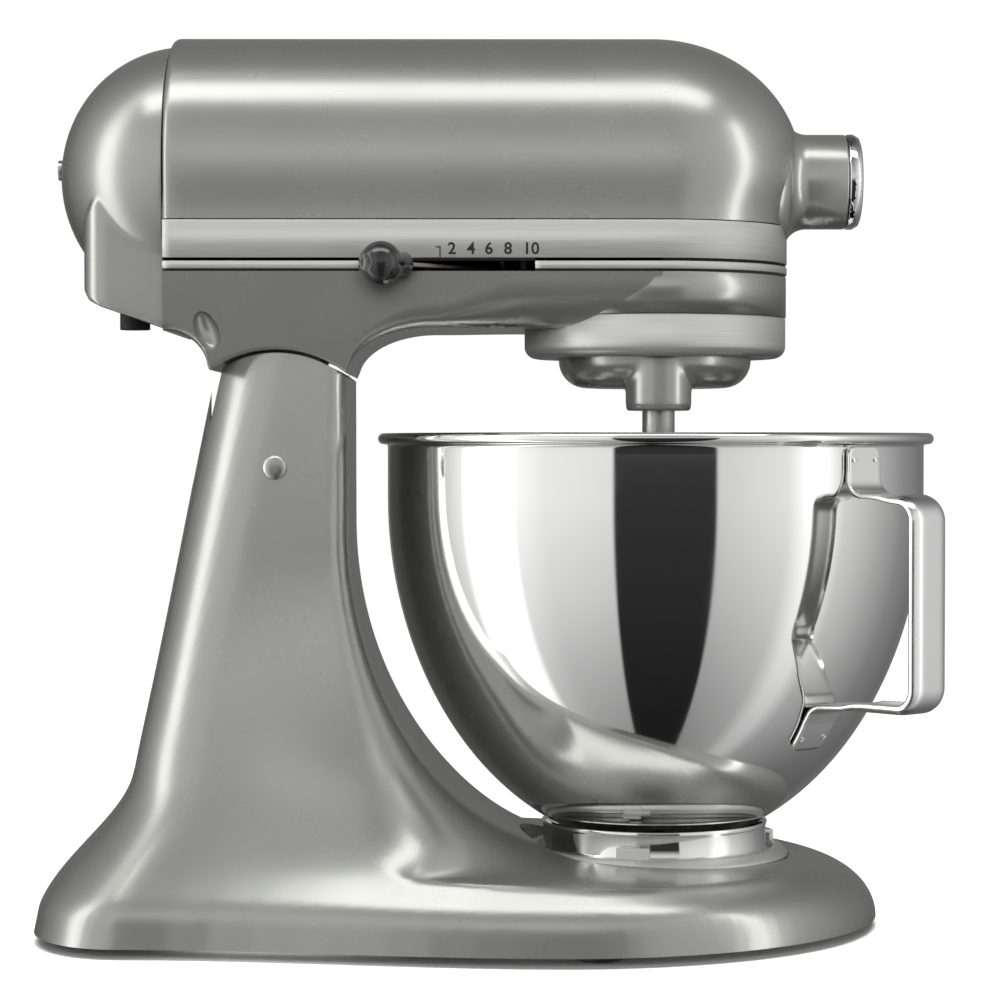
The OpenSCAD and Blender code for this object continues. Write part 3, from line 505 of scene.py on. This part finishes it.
def upper_shell():
    """The housing's skin, in rows from the band to the ridge; each row goes round the nose from seam to seam."""
    stations = [(SEAM_X - 0.2, 6.0)]
    for k in (0, 22, 45, 68, 90):
        a = math.radians(k)
        stations.append((SEAM_X + LIP_R * (1 - math.cos(a)), LIP_R * (1 - math.sin(a))))
    stations += [(x, 0.0) for x in np.linspace(SEAM_X + 10, NOSE_X, 12)]
    rows = []
    for s in list(np.linspace(0, BEND_SHARE, 8)) + list(np.linspace(BEND_SHARE, 1, 40))[1:]:
        z, w, a = head_section(s)
        flank = []
        for x, d in stations:
            k = 1 - d / HEAD_R
            flank.append((x, -w * k, HEAD_Z + (z - HEAD_Z) * k if z > HEAD_Z else z))
        turn = [math.radians(p) for p in np.linspace(0, 180, 61)[1:-1]]
        nose = [(NOSE_X + a * math.sin(p), -w * math.cos(p), z) for p in turn]
        rows.append(flank + nose + [(x, -y, h) for x, y, h in flank[::-1]])
    return grid("upper_housing_shell", rows, PAINT)


def hub_fillet_centre(r):
    """Where a fillet of radius r touches both the hub and the rounded nose."""
    best = None
    for x in np.linspace(115, 140, 501):
        d = min(math.hypot(NOSE_X + NOSE * math.cos(t) - x, HEAD_R * math.sin(t) - HUB_R - r)
                for t in np.linspace(0, 1.2, 241))
        if best is None or abs(d - r) < best[0]:
            best = (abs(d - r), x)
    return best[1]


shell = upper_shell()
FILLET_R, HUB_BORE = 9.0, 15.0
fillet_x = hub_fillet_centre(FILLET_R)
hub_profile = [(HUB_R + FILLET_R, fillet_x - FILLET_R - 4)]
for a in np.radians(np.linspace(80, 0, 12)):
    hub_profile.append((HUB_R + FILLET_R - FILLET_R * math.cos(a), fillet_x - FILLET_R * math.sin(a)))
hub_profile += [(HUB_R, HUB_END - 0.8), (HUB_R - 0.25, HUB_END - 0.25), (HUB_R - 0.8, HUB_END),
                (HUB_BORE, HUB_END), (HUB_BORE, 122)]
hub = lathe("attachment_hub", hub_profile, PAINT, axis="x", centre=(0, 0, HUB_Z))
for o in (shell, hub):
    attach(o, "head")
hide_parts("upper_housing")


# ---------- rear cover ----------

VOXEL = 0.9
DOME_X = SEAM_X + 5.2
DOME_R, DOME_LENGTH, DOME_Z = 52.3, 50.4, 296.5
quarter = np.radians(np.linspace(0, 90, 40))
dome_profile = [(DOME_R * math.cos(a), -DOME_LENGTH * math.sin(a)) for a in quarter]
dome_profile += [(0.0, 12.0), (DOME_R, 12.0), (DOME_R, 0.0)]
dome = lathe("dome", dome_profile, PAINT, axis="x", centre=(DOME_X, 0, DOME_Z))
chin_side = [(SEAM_X + 12, 233.2), (SEAM_X + 1, 235), (-151, 244.2), (-155.5, 246.6), (-158, 251),
             (-158, 277), (-154, 284.5), (SEAM_X + 12, 292)]
chin = prism_y("chin", chin_side, -60, 60, PAINT)
CHIN_X, CHIN_Y, CHIN_R = -148, 30.5, 10
chin_plan = arc(CHIN_X, CHIN_Y, CHIN_R, CHIN_R, 90, 180, 8)
chin_plan += arc(CHIN_X, -CHIN_Y, CHIN_R, CHIN_R, 180, 270, 8)
chin_plan += [(SEAM_X + 14, -42.6), (SEAM_X + 14, 42.6)]
chin_rows = [[(x, y, z) for x, y in chin_plan] for z in (200, 310)]
plan_cut = grid("plan_cut", chin_rows, PAINT, close_j=True, caps=True)
boolean(chin, plan_cut, "INTERSECT")
cover = melt("rear_cover_shell", [dome, chin], VOXEL, 5, PAINT)
boolean(cover, box_mm("seam_cut", (SEAM_X - 0.35, -90, 150), (SEAM_X + 60, 90, 400), PAINT))
for p in cover.data.polygons:
    p.use_smooth = abs(p.normal.x) < 0.999
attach(cover, "head")
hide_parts("rear_cover")


# ---------- lower housing ----------

def flank_w(z):
    return mix(48.3, 52.35, min(1.0, max(0.0, (z - 214) / 43)))


def under_profile():
    """Lower edge from the seam round the neck to the front: x, z and the radius of the edge."""
    pts = [(SEAM_X, 234.5, 2.5)]
    for x, z in arc(SEAM_X, 219.5, 17, 15, 90, 5, 14)[1:]:
        pts.append((x, z, 3.2))
    for x, z in arc(PIN_X, PIN_Z, 45.2, 45.2, 124.0, 53.0, 40):
        pts.append((x, z, 1.4))
    for k, (x, z) in enumerate(arc(-22.3, 218.4, 32.2, UNDER_Z - 218.4, 172, 90, 22)):
        pts.append((x, z, mix(3.0, 9.0, smoothstep(k / 22))))
    for x in np.linspace(-18, BOWL_X, 24):
        pts.append((x, UNDER_Z, mix(9.0, 18.5, smoothstep((x + 22) / 34))))
    return pts


def lower_shell():
    rows = []
    for x, z, r in under_profile():
        top = [(x, -flank_w(h), h) for h in np.linspace(BAND_LOW, z + r, 7)[:-1]]
        w = flank_w(z + r)
        turns = np.radians(np.linspace(0, 90, 12))
        bend = [(x, -(w - r + r * math.cos(a)), z + r - r * math.sin(a)) for a in turns]
        flat = [(x, -(w - r) * t, z) for t in (0.66, 0.33)]
        half = top + bend + flat
        rows.append(half + [(x, 0, z)] + [(x, -y, h) for _, y, h in half[::-1]])
    return grid("lower_housing_shell", rows, PAINT, close_j=True, caps=True)


lower = lower_shell()
egg = [(4.6 * math.sin(a), -8.0 * math.cos(a)) for a in np.radians(np.linspace(0, 180, 24))]
dimple = lathe("dimple", egg, PAINT, n=48)
dimple_place = Matrix.Translation(Vector((-108.6, -50.2, 234.2)) * MM)
dimple.matrix_world = dimple_place @ Matrix.Rotation(math.radians(-22), 4, "Y")
boolean(lower, dimple)
guide_hole = [(0, 230), (4.2, 230), (4.2, 240), (0, 240)]
boolean(lower, lathe("guide_hole", guide_hole, PAINT, centre=(2.5, -38, 0), n=40))
soften(lower, 0.5, 2, 50)
skirt = [(40, 241.2), (52.2, 241.2), (52.2, BAND_LOW - 0.2), (52.0, BAND_LOW), (40, BAND_LOW)]
nose = lathe("nose_skirt", skirt, PAINT, centre=(BOWL_X, 0, 0))
tongue_side = [(-104, 219), (-104, 234), (-66, 234), (-66, 214)] + arc(PIN_X, PIN_Z, 18, 18, 10, -190, 40)
tongue = prism_y("hinge_tongue", tongue_side, -24, 24, PAINT)
eye = [(0, -30), (4.8, -30), (4.8, 30), (0, 30)]
boolean(tongue, lathe("eye", eye, PAINT, axis="y", centre=(PIN_X, 0, PIN_Z), n=64))
soften(tongue, 0.8, 2, 40)
for o in (lower, nose, tongue):
    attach(o, "head")
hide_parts("lower_housing")


# ---------- trim band ----------

def band_path(w):
    """Half outline of the band from the seam's near side round the nose to the far side."""
    near = [(x, -w) for x in np.linspace(SEAM_X + 0.2, BOWL_X, 60)]
    turn = arc(BOWL_X, 0, w, w, -90, 90, 64)[1:]
    return near + turn + [(x, w) for x in np.linspace(BOWL_X, SEAM_X + 0.2, 40)[1:]]


def strip(name, z0, z1, w, depth, material, keep=lambda x, y: True):
    """A band with rounded edges that follows the head's outline; keep says where there is metal."""
    run = [[]]
    for x, y in band_path(w):
        if keep(x, y):
            run[-1].append((x, y))
        elif run[-1]:
            run.append([])
    made = []
    for k, part in enumerate(r for r in run if len(r) > 1):
        rows = []
        for x, y in part:
            cx = min(x, BOWL_X)
            d = Vector((x - cx, y))
            d.normalize()
            prof = [(-depth, z0), (-0.15, z0), (0, z0 + 0.15), (0, z1 - 0.15), (-0.15, z1), (-depth, z1)]
            rows.append([(x + d.x * o, y + d.y * o, z) for o, z in prof])
        ob = grid(f"{name}_{k}", rows, material, close_j=True, caps=True)
        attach(ob, "head")
        made.append(ob)
    return made


def off_slot(x, y):
    """False along the speed lever's slot on the near side."""
    return not (y < 0 and -46 < x < 16)


GROOVE_W, BAND_W = 51.9, 52.5
groove = strip("band_groove", BAND_LOW + 0.05, BAND_HIGH, GROOVE_W, 0.5, INK, off_slot)
groove += strip("band_groove_top", 261.0, BAND_HIGH, GROOVE_W, 0.5, INK)
upper_band = strip("band_upper", 262.1, BAND_HIGH - 0.35, BAND_W, 1.0, BRUSHED)
lower_band = strip("band_lower", 258.0, 260.9, BAND_W, 1.0, BRUSHED, off_slot)
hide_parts("trim_band")

DIAL_Y, DIAL_Z = -52.53, 265.4
for word, x in (("2", -14.8), ("4", -7.5), ("6", -0.7), ("8", 6.6), ("10", 15.4)):
    curve = bpy.data.curves.new("dial_" + word, "FONT")
    curve.body = word
    curve.size = 6.3 * MM
    curve.align_x = "CENTER"
    curve.align_y = "CENTER"
    curve.extrude = 0.02 * MM
    curve.offset = 0.13 * MM
    curve.resolution_u = 8
    curve.materials.append(INK)
    mark = bpy.data.objects.new("dial_" + word, curve)
    scene.collection.objects.link(mark)
    upright = Matrix.Rotation(math.radians(90), 4, "X")
    mark.matrix_world = Matrix.Translation(Vector((x, DIAL_Y, DIAL_Z)) * MM) @ upright
    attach(mark, "head")
for name, lo, hi in (("dial_tick", (-19.6, -52.56, 262.2), (-19.1, -52.4, 266.4)),
                     ("dial_tick_top", (-21.0, -52.56, 265.9), (-19.1, -52.4, 266.4))):
    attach(box_mm(name, lo, hi, INK), "head")


# ---------- drip ring, planetary hub and shaft ----------
ring_profile = [(39.4, 226.3), (39.4, 225.3), (39.7, 225)] + arc(47.2, 229.8, 4.8, 4.8, -90, 0, 12)
ring_profile += [(52, 240.4), (51.6, 240.9), (46.6, 240.9), (46.6, 226.3)]
ring = lathe("drip_ring_turned", ring_profile, BRUSHED, centre=(BOWL_X, 0, 0), n=160)
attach(ring, "head")
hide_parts("drip_ring")

BEATER_Y = -27
disc_profile = [(0.0, 213.3)] + arc(38.4 - 11, 213.3 + 11, 11, 11, -90, 0, 14) + [(38.4, 228.5), (0.0, 228.5)]
disc = lathe("disc", disc_profile, PAINT, centre=(BOWL_X, 0, 0))
boss_profile = [(0.0, 204.6), (12.9, 204.6), (12.9, 226.5), (0.0, 226.5)]
boss = lathe("boss", boss_profile, PAINT, centre=(BOWL_X, BEATER_Y, 0), n=64)
planet = melt("planetary_skin", [disc, boss], 0.75, 26, PAINT)
boolean(planet, box_mm("top_cut", (0, -60, 225.4), (130, 60, 240), PAINT))
collar_profile = [(6.5, 205.5), (6.5, 204.2), (11.6, 204.0), (12.4, 204.5), (12.6, 205.4),
                  (12.5, 211), (8, 211)]
collar = lathe("boss_collar", collar_profile, PAINT, centre=(BOWL_X, BEATER_Y, 0), n=96)
core_profile = [(6.1, 225.3), (9, 225.3), (9, 238), (6.1, 238)]
core = lathe("planetary_core", core_profile, IRON, centre=(BOWL_X, 0, 0), n=64)
for o in (planet, collar, core):
    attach(o, "planetary")
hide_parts("planetary_hub")


# ---------- bowl, its foot and the clamping ring ----------
BOWL_R, BOWL_DEPTH, BOWL_MID, BOWL_WALL = 106.6, 140, 170, 0.9
INNER_R, INNER_DEPTH = BOWL_R - BOWL_WALL, BOWL_DEPTH - BOWL_WALL
outside, inside = np.radians(np.linspace(0, 90, 72)), np.radians(np.linspace(88, 0, 60))
bowl_profile = [(BOWL_R * math.sin(a), BOWL_MID - BOWL_DEPTH * math.cos(a)) for a in outside]
bowl_profile += [(BOWL_R, z) for z in np.linspace(173, 189.5, 8)] + [(106.7, 190.6)]
bowl_profile += arc(108.3, 193.1, 2.2, 2.2, -100, 118, 22)
bowl_profile += [(105.75, 194.6), (INNER_R, 192), (INNER_R, BOWL_MID)]
bowl_profile += [(INNER_R * math.sin(a), BOWL_MID - INNER_DEPTH * math.cos(a)) for a in inside]
bowl = lathe("bowl_spun", bowl_profile, POLISHED, centre=(BOWL_X, 0, 0), n=192)
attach(bowl, "bowl")
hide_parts("bowl")

foot_profile = [(43.6, 29.2), (43.6, 39.4), (44.2, 40.9), (44.8, 41.1), (45.1, 40.7), (44.7, 39.4),
                (44.5, 38.6), (44.5, 31.6), (45.0, 30.4), (46.0, 29.8), (46.3, 29.4), (46.0, 29.05)]
foot = lathe("bowl_foot_ring", foot_profile, POLISHED, centre=(BOWL_X, 0, 0), n=160)
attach(foot, "bowl")
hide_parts("bowl_foot")

plate_profile = [(0.0, 26.6), (52.7, 26.6), (53.2, 27.0), (53.2, 28.1), (52.8, 28.7), (51.0, 30.9),
                 (50.4, 31.3), (47.8, 31.3), (47.2, 31.0), (47.0, 30.4), (47.0, 28.5), (46.6, 28.3), (0.0, 28.3)]
plate = lathe("clamping_ring", plate_profile, SATIN, centre=(BOWL_X, 0, 0), n=160)
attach(plate, "stand")
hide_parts("clamping_plate")
for k, a in enumerate((-103, 17, 137)):
    hook = box_mm(f"bayonet_hook_{k}", (47.2, -6.4, 29.5), (49, 6.4, 35.5), SATIN)
    lip = box_mm(f"bayonet_lip_{k}", (45.2, -6.4, 34), (48, 2, 35.5), SATIN)
    for o in (hook, lip):
        o.data.transform(Matrix.Translation((BOWL_X * MM, 0, 0)) @ Matrix.Rotation(math.radians(a), 4, "Z"))
        soften(o, 0.4, 2, 40)
        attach(o, "stand")


# ---------- handle ----------
BEND, GRIP_BEND = 7.0, 9
ARM_TOP, ARM_LOW, GRIP_R = 171.6, 92.4, 139.5
STRAP_MID, STRAP_HALF_T = 1.0, 0.9
STRAP_HALF_W, TAB_HALF_W, TAB_CORNER = 9.7, 9.0, 3.2
EDGE_R = 0.42
HANDLE_TURN = 47


def bowl_outer(z):
    return BOWL_R if z >= BOWL_MID else BOWL_R * math.sqrt(max(0, 1 - ((BOWL_MID - z) / BOWL_DEPTH) ** 2))


def bowl_slope(z):
    return (BOWL_R / BOWL_DEPTH) ** 2 * (BOWL_MID - z) / bowl_outer(z)


def on_bowl(z, d):
    """The point at distance d outside the bowl's skin at height z."""
    return (bowl_outer(z) + d * math.sqrt(1 + bowl_slope(z) ** 2), z)


def strap_path():
    """Middle line of the bent strap, as distance from the bowl's axis and height, from the top tab down."""
    turn = 90 - math.degrees(math.atan(bowl_slope(89)))
    low = (on_bowl(89.6, STRAP_MID)[0] - BEND * math.cos(math.radians(90 + turn)), ARM_LOW - BEND)
    grip_x = GRIP_R - GRIP_BEND
    pts = [(BOWL_R + STRAP_MID, z) for z in np.linspace(190, 181, 12)]
    pts += arc(BOWL_R + STRAP_MID + BEND, ARM_TOP + BEND, BEND, BEND, 180, 270, 14)
    pts += [(x, ARM_TOP) for x in (117.5, 122, 126.5)]
    pts += arc(grip_x, ARM_TOP - GRIP_BEND, GRIP_BEND, GRIP_BEND, 90, 0, 18)
    pts += [(GRIP_R, z) for z in np.linspace(158, 106, 14)]
    pts += arc(grip_x, ARM_LOW + GRIP_BEND, GRIP_BEND, GRIP_BEND, 0, -90, 18)
    pts += [(x, ARM_LOW) for x in (126, 120, 115, 110, 105)]
    pts += arc(low[0], low[1], BEND, BEND, 90, 90 + turn, 10)
    pts += [on_bowl(z, STRAP_MID) for z in np.linspace(86, 75, 12)]
    return pts


def handle():
    """The strap's rounded section carried along its path, with round-cornered tabs and a crowned grip."""
    path = [Vector(p) for p in strap_path()]
    length = [0.0]
    for a, b in zip(path, path[1:]):
        length.append(length[-1] + (b - a).length)
    total = length[-1]
    rows = []
    for i, p in enumerate(path):
        t = (path[min(i + 1, len(path) - 1)] - path[max(i - 1, 0)]).normalized()
        n = Vector((-t.y, t.x))
        end = min(length[i], total - length[i])
        w = mix(TAB_HALF_W, STRAP_HALF_W, smoothstep((end - 8) / 10))
        if end < TAB_CORNER:
            w -= TAB_CORNER - math.sqrt(max(0, TAB_CORNER ** 2 - (TAB_CORNER - end) ** 2))
        grip = smoothstep((min(length[i] - 26, total - 30 - length[i])) / 12)
        flat = w - EDGE_R
        edge = []
        for deg in np.linspace(90, -90, 7):
            a = math.radians(deg)
            rise = (STRAP_HALF_T - EDGE_R) * (1 if deg > 0 else -1 if deg < 0 else 0)
            edge.append((flat + EDGE_R * math.cos(a), rise + EDGE_R * math.sin(a)))
        section = [(u * flat, STRAP_HALF_T) for u in np.linspace(-1, 1, 13)] + edge
        row = []
        for u, v in section + [(-u, -v) for u, v in section]:
            crown = -1.9 * grip * max(0.0, (abs(u) - 5.2) / 4.5) ** 2
            q = p + n * (v + crown)
            row.append((q.x, u, q.y))
        rows.append(row)
    ob = grid("handle_strap", rows, HANDLE_STEEL, close_j=True, caps=True)
    turned = Matrix.Rotation(math.radians(-HANDLE_TURN), 4, "Z")
    ob.data.transform(Matrix.Translation((BOWL_X * MM, 0, 0)) @ turned)
    return ob


strap = handle()
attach(strap, "bowl")
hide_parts("bowl_handle")


# ---------- knob and pins ----------
LEVER_REST = math.radians(225.3)
BALL_R, BALL_REACH = 8.5, 87.3
knob_profile = [(2.6, 74.4), (4.3, 74.5), (4.7, 75.2), (4.7, 77.5), (5.0, 79.6)]
knob_profile += arc(0, BALL_REACH, BALL_R, BALL_R, -52, 66, 31) + [(3.0, 95.35), (2.6, 95.0), (0.0, 94.8)]
knob = lathe("knob_ball", knob_profile, BLACK, axis="x", n=96)
lever_pivot = Matrix.Translation(Vector((20, -4, 259.1)) * MM)
knob.data.transform(lever_pivot @ Matrix.Rotation(LEVER_REST, 4, "Z"))
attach(knob, "speed_lever")
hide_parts("speed_knob")

pin_profile = [(0.0, 46.0), (4.4, 46.0), (4.75, 45.6), (4.75, -50.2), (4.65, -50.7), (4.2, -51.3),
               (3.2, -51.7), (1.8, -51.86), (0.0, -51.9)]
pin = lathe("pin_domed", pin_profile, ZINC, axis="y", centre=(PIN_X, 0, PIN_Z), n=96)
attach(pin, "stand")
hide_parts("hinge_pin")


# ---------- camera, light and floor ----------

def look_at(obj, target):
    obj.rotation_euler = (Vector(target) - obj.location).to_track_quat("-Z", "Y").to_euler()


cam = bpy.data.objects.new("camera", bpy.data.cameras.new("camera"))
scene.collection.objects.link(cam)
cam.location = (-0.0003, -1.160, 0.191)
cam.data.lens = 104.4
cam.data.sensor_width = 36
cam.data.clip_end = 50
look_at(cam, (0.0037, 0, 0.1686))
scene.camera = cam


def soft_light(name, place, target, size, power):
    """A rectangular area light; its size is across and along, in metres."""
    light = bpy.data.lights.new(name, "AREA")
    light.shape = "RECTANGLE"
    light.size, light.size_y = size
    light.energy = power
    ob = bpy.data.objects.new(name, light)
    scene.collection.objects.link(ob)
    ob.location = place
    look_at(ob, target)
    return ob


soft_light("top_softbox", (0.0, -0.68, 2.0), (0, 0, 0.2), (2.4, 0.6), 18)
fill = soft_light("front_fill", (0.0, -2.6, 0.9), (0, 0, 0.2), (1.6, 1.2), 50)
fill.visible_glossy = False

# A tall strip at the side gives the painted castings their narrow highlight; nothing else receives it.
strip_light = soft_light("side_strip", (1.85, -0.75, 0.35), (0, 0, 0.25), (0.26, 2.6), 9)
strip_light.visible_diffuse = False
painted = bpy.data.collections.new("painted")
for o in scene.objects:
    if o.type == "MESH" and PAINT.name in o.data.materials:
        painted.objects.link(o)
strip_light.light_linking.receiver_collection = painted

world = bpy.data.worlds.new("white_room")
scene.world = world
world.use_nodes = True
world.node_tree.nodes["Background"].inputs["Color"].default_value = (1, 1, 1, 1)
world.node_tree.nodes["Background"].inputs["Strength"].default_value = 1.02
world.cycles_visibility.diffuse = False
world.cycles_visibility.glossy = False


DOME_SIZE, DOME_MIDDLE = 4000, 200


def grey_stops(tree, fac, stops, low, high):
    """Greys along a factor; the stops' places run from low to high."""
    node = tree.nodes.new("ShaderNodeValToRGB")
    elements = node.color_ramp.elements
    while len(elements) < len(stops):
        elements.new(0.5)
    for el, (place, v) in zip(elements, stops):
        el.position = (place - low) / (high - low)
        el.color = (v, v, v, 1)
    tree.links.new(fac, node.inputs["Fac"])
    return node.outputs["Color"]


def to_unit(tree, value, low, high):
    """Maps low..high onto 0..1."""
    node = tree.nodes.new("ShaderNodeMapRange")
    node.inputs["From Min"].default_value = low
    node.inputs["From Max"].default_value = high
    tree.links.new(value, node.inputs["Value"])
    return node.outputs["Result"]


def studio_shell():
    """A large unseen dome round the set: pale walls at the sides, a dark opening in front with a soft panel
    above it, dim above and below. Walls and panel are given by compass angle from the front, in degrees."""
    P = [[(DOME_SIZE * math.cos(e) * math.cos(a), DOME_SIZE * math.cos(e) * math.sin(a),
           DOME_MIDDLE + DOME_SIZE * math.sin(e)) for a in np.linspace(0, 2 * math.pi, 97)[:-1]]
         for e in np.linspace(-math.pi / 2, math.pi / 2, 49)]
    m = bpy.data.materials.new("studio_walls")
    m.use_nodes = True
    t = m.node_tree
    t.nodes.remove(t.nodes["Principled BSDF"])
    out = t.nodes["Material Output"]
    glow = t.nodes.new("ShaderNodeEmission")
    coord = t.nodes.new("ShaderNodeTexCoord")
    split = t.nodes.new("ShaderNodeSeparateXYZ")
    t.links.new(coord.outputs["Object"], split.inputs["Vector"])
    flip = t.nodes.new("ShaderNodeMath")
    flip.operation = "MULTIPLY"
    flip.inputs[1].default_value = -1.0
    t.links.new(split.outputs["Y"], flip.inputs[0])
    turn = t.nodes.new("ShaderNodeMath")
    turn.operation = "ARCTAN2"
    t.links.new(split.outputs["X"], turn.inputs[0])
    t.links.new(flip.outputs[0], turn.inputs[1])
    around = to_unit(t, turn.outputs[0], -math.pi, math.pi)
    height = to_unit(t, split.outputs["Z"], -3.8, 4.2)
    walls = grey_stops(t, around, (
        (-180, 0.2), (-140, 0.12), (-112, 0.45), (-91, 1.05), (-82, 4.0), (-72, 4.0), (-62, 1.2),
        (-48, 1.0), (-19.6, 0.9), (-18.6, 0.035), (22.7, 0.035), (23.7, 0.74), (54, 0.92), (64, 1.35),
        (72, 1.35), (82, 0.8), (105, 0.5), (124, 0.3), (148, 0.18), (180, 0.2)), -180, 180)
    level = grey_stops(t, height, (
        (0.0, 0.3), (0.28, 0.75), (0.5, 1.0), (0.72, 1.0), (0.88, 0.5), (1.0, 0.35)), 0, 1)
    panel_wide = grey_stops(t, around, ((-70, 0.0), (-24, 0.9), (34, 0.9), (60, 0.0)), -180, 180)
    panel_high = grey_stops(t, height, ((0.49, 0.0), (0.58, 0.8), (0.68, 0.62), (0.97, 0.15)), 0, 1)
    panel = combine(t, "MULTIPLY", panel_wide, panel_high)
    both = combine(t, "MULTIPLY", walls, level)
    t.links.new(combine(t, "LIGHTEN", both, panel), glow.inputs["Color"])
    t.links.new(glow.outputs["Emission"], out.inputs["Surface"])
    ob = grid("studio_shell", P, m, close_j=True)
    ob.visible_camera = False
    ob.visible_diffuse = False
    ob.visible_shadow = False


studio_shell()

# The floor glows white where it is open; a painted contact shadow, taken from ambient occlusion, darkens its
# glow only close under the machine.
floor_mat = surface("pale_floor", (0.85, 0.85, 0.85), 0.0, 0.8, 0.9, scale=3, spread=0.005)
floor_bsdf = floor_mat.node_tree.nodes["Principled BSDF"]
painted_contact_shadow = floor_mat.node_tree.nodes.new("ShaderNodeAmbientOcclusion")
painted_contact_shadow.inputs["Distance"].default_value = 0.05
floor_glow_with_painted_shadow = ramp(floor_mat.node_tree, painted_contact_shadow.outputs["AO"], (0, 0, 0), (1, 1, 1), 0.42, 0.66)
# Painted shadow: the occlusion ramp turns the floor's glow black under the base's edge.
floor_mat.node_tree.links.new(floor_glow_with_painted_shadow, floor_bsdf.inputs["Emission Color"])
floor_bsdf.inputs["Emission Strength"].default_value = 0.95
floor = lathe("floor", [(0.0, 0.0), (3400, 0.0)], floor_mat, n=128)
floor.visible_glossy = False
floor.visible_diffuse = False
scene.view_settings.view_transform = "Standard"
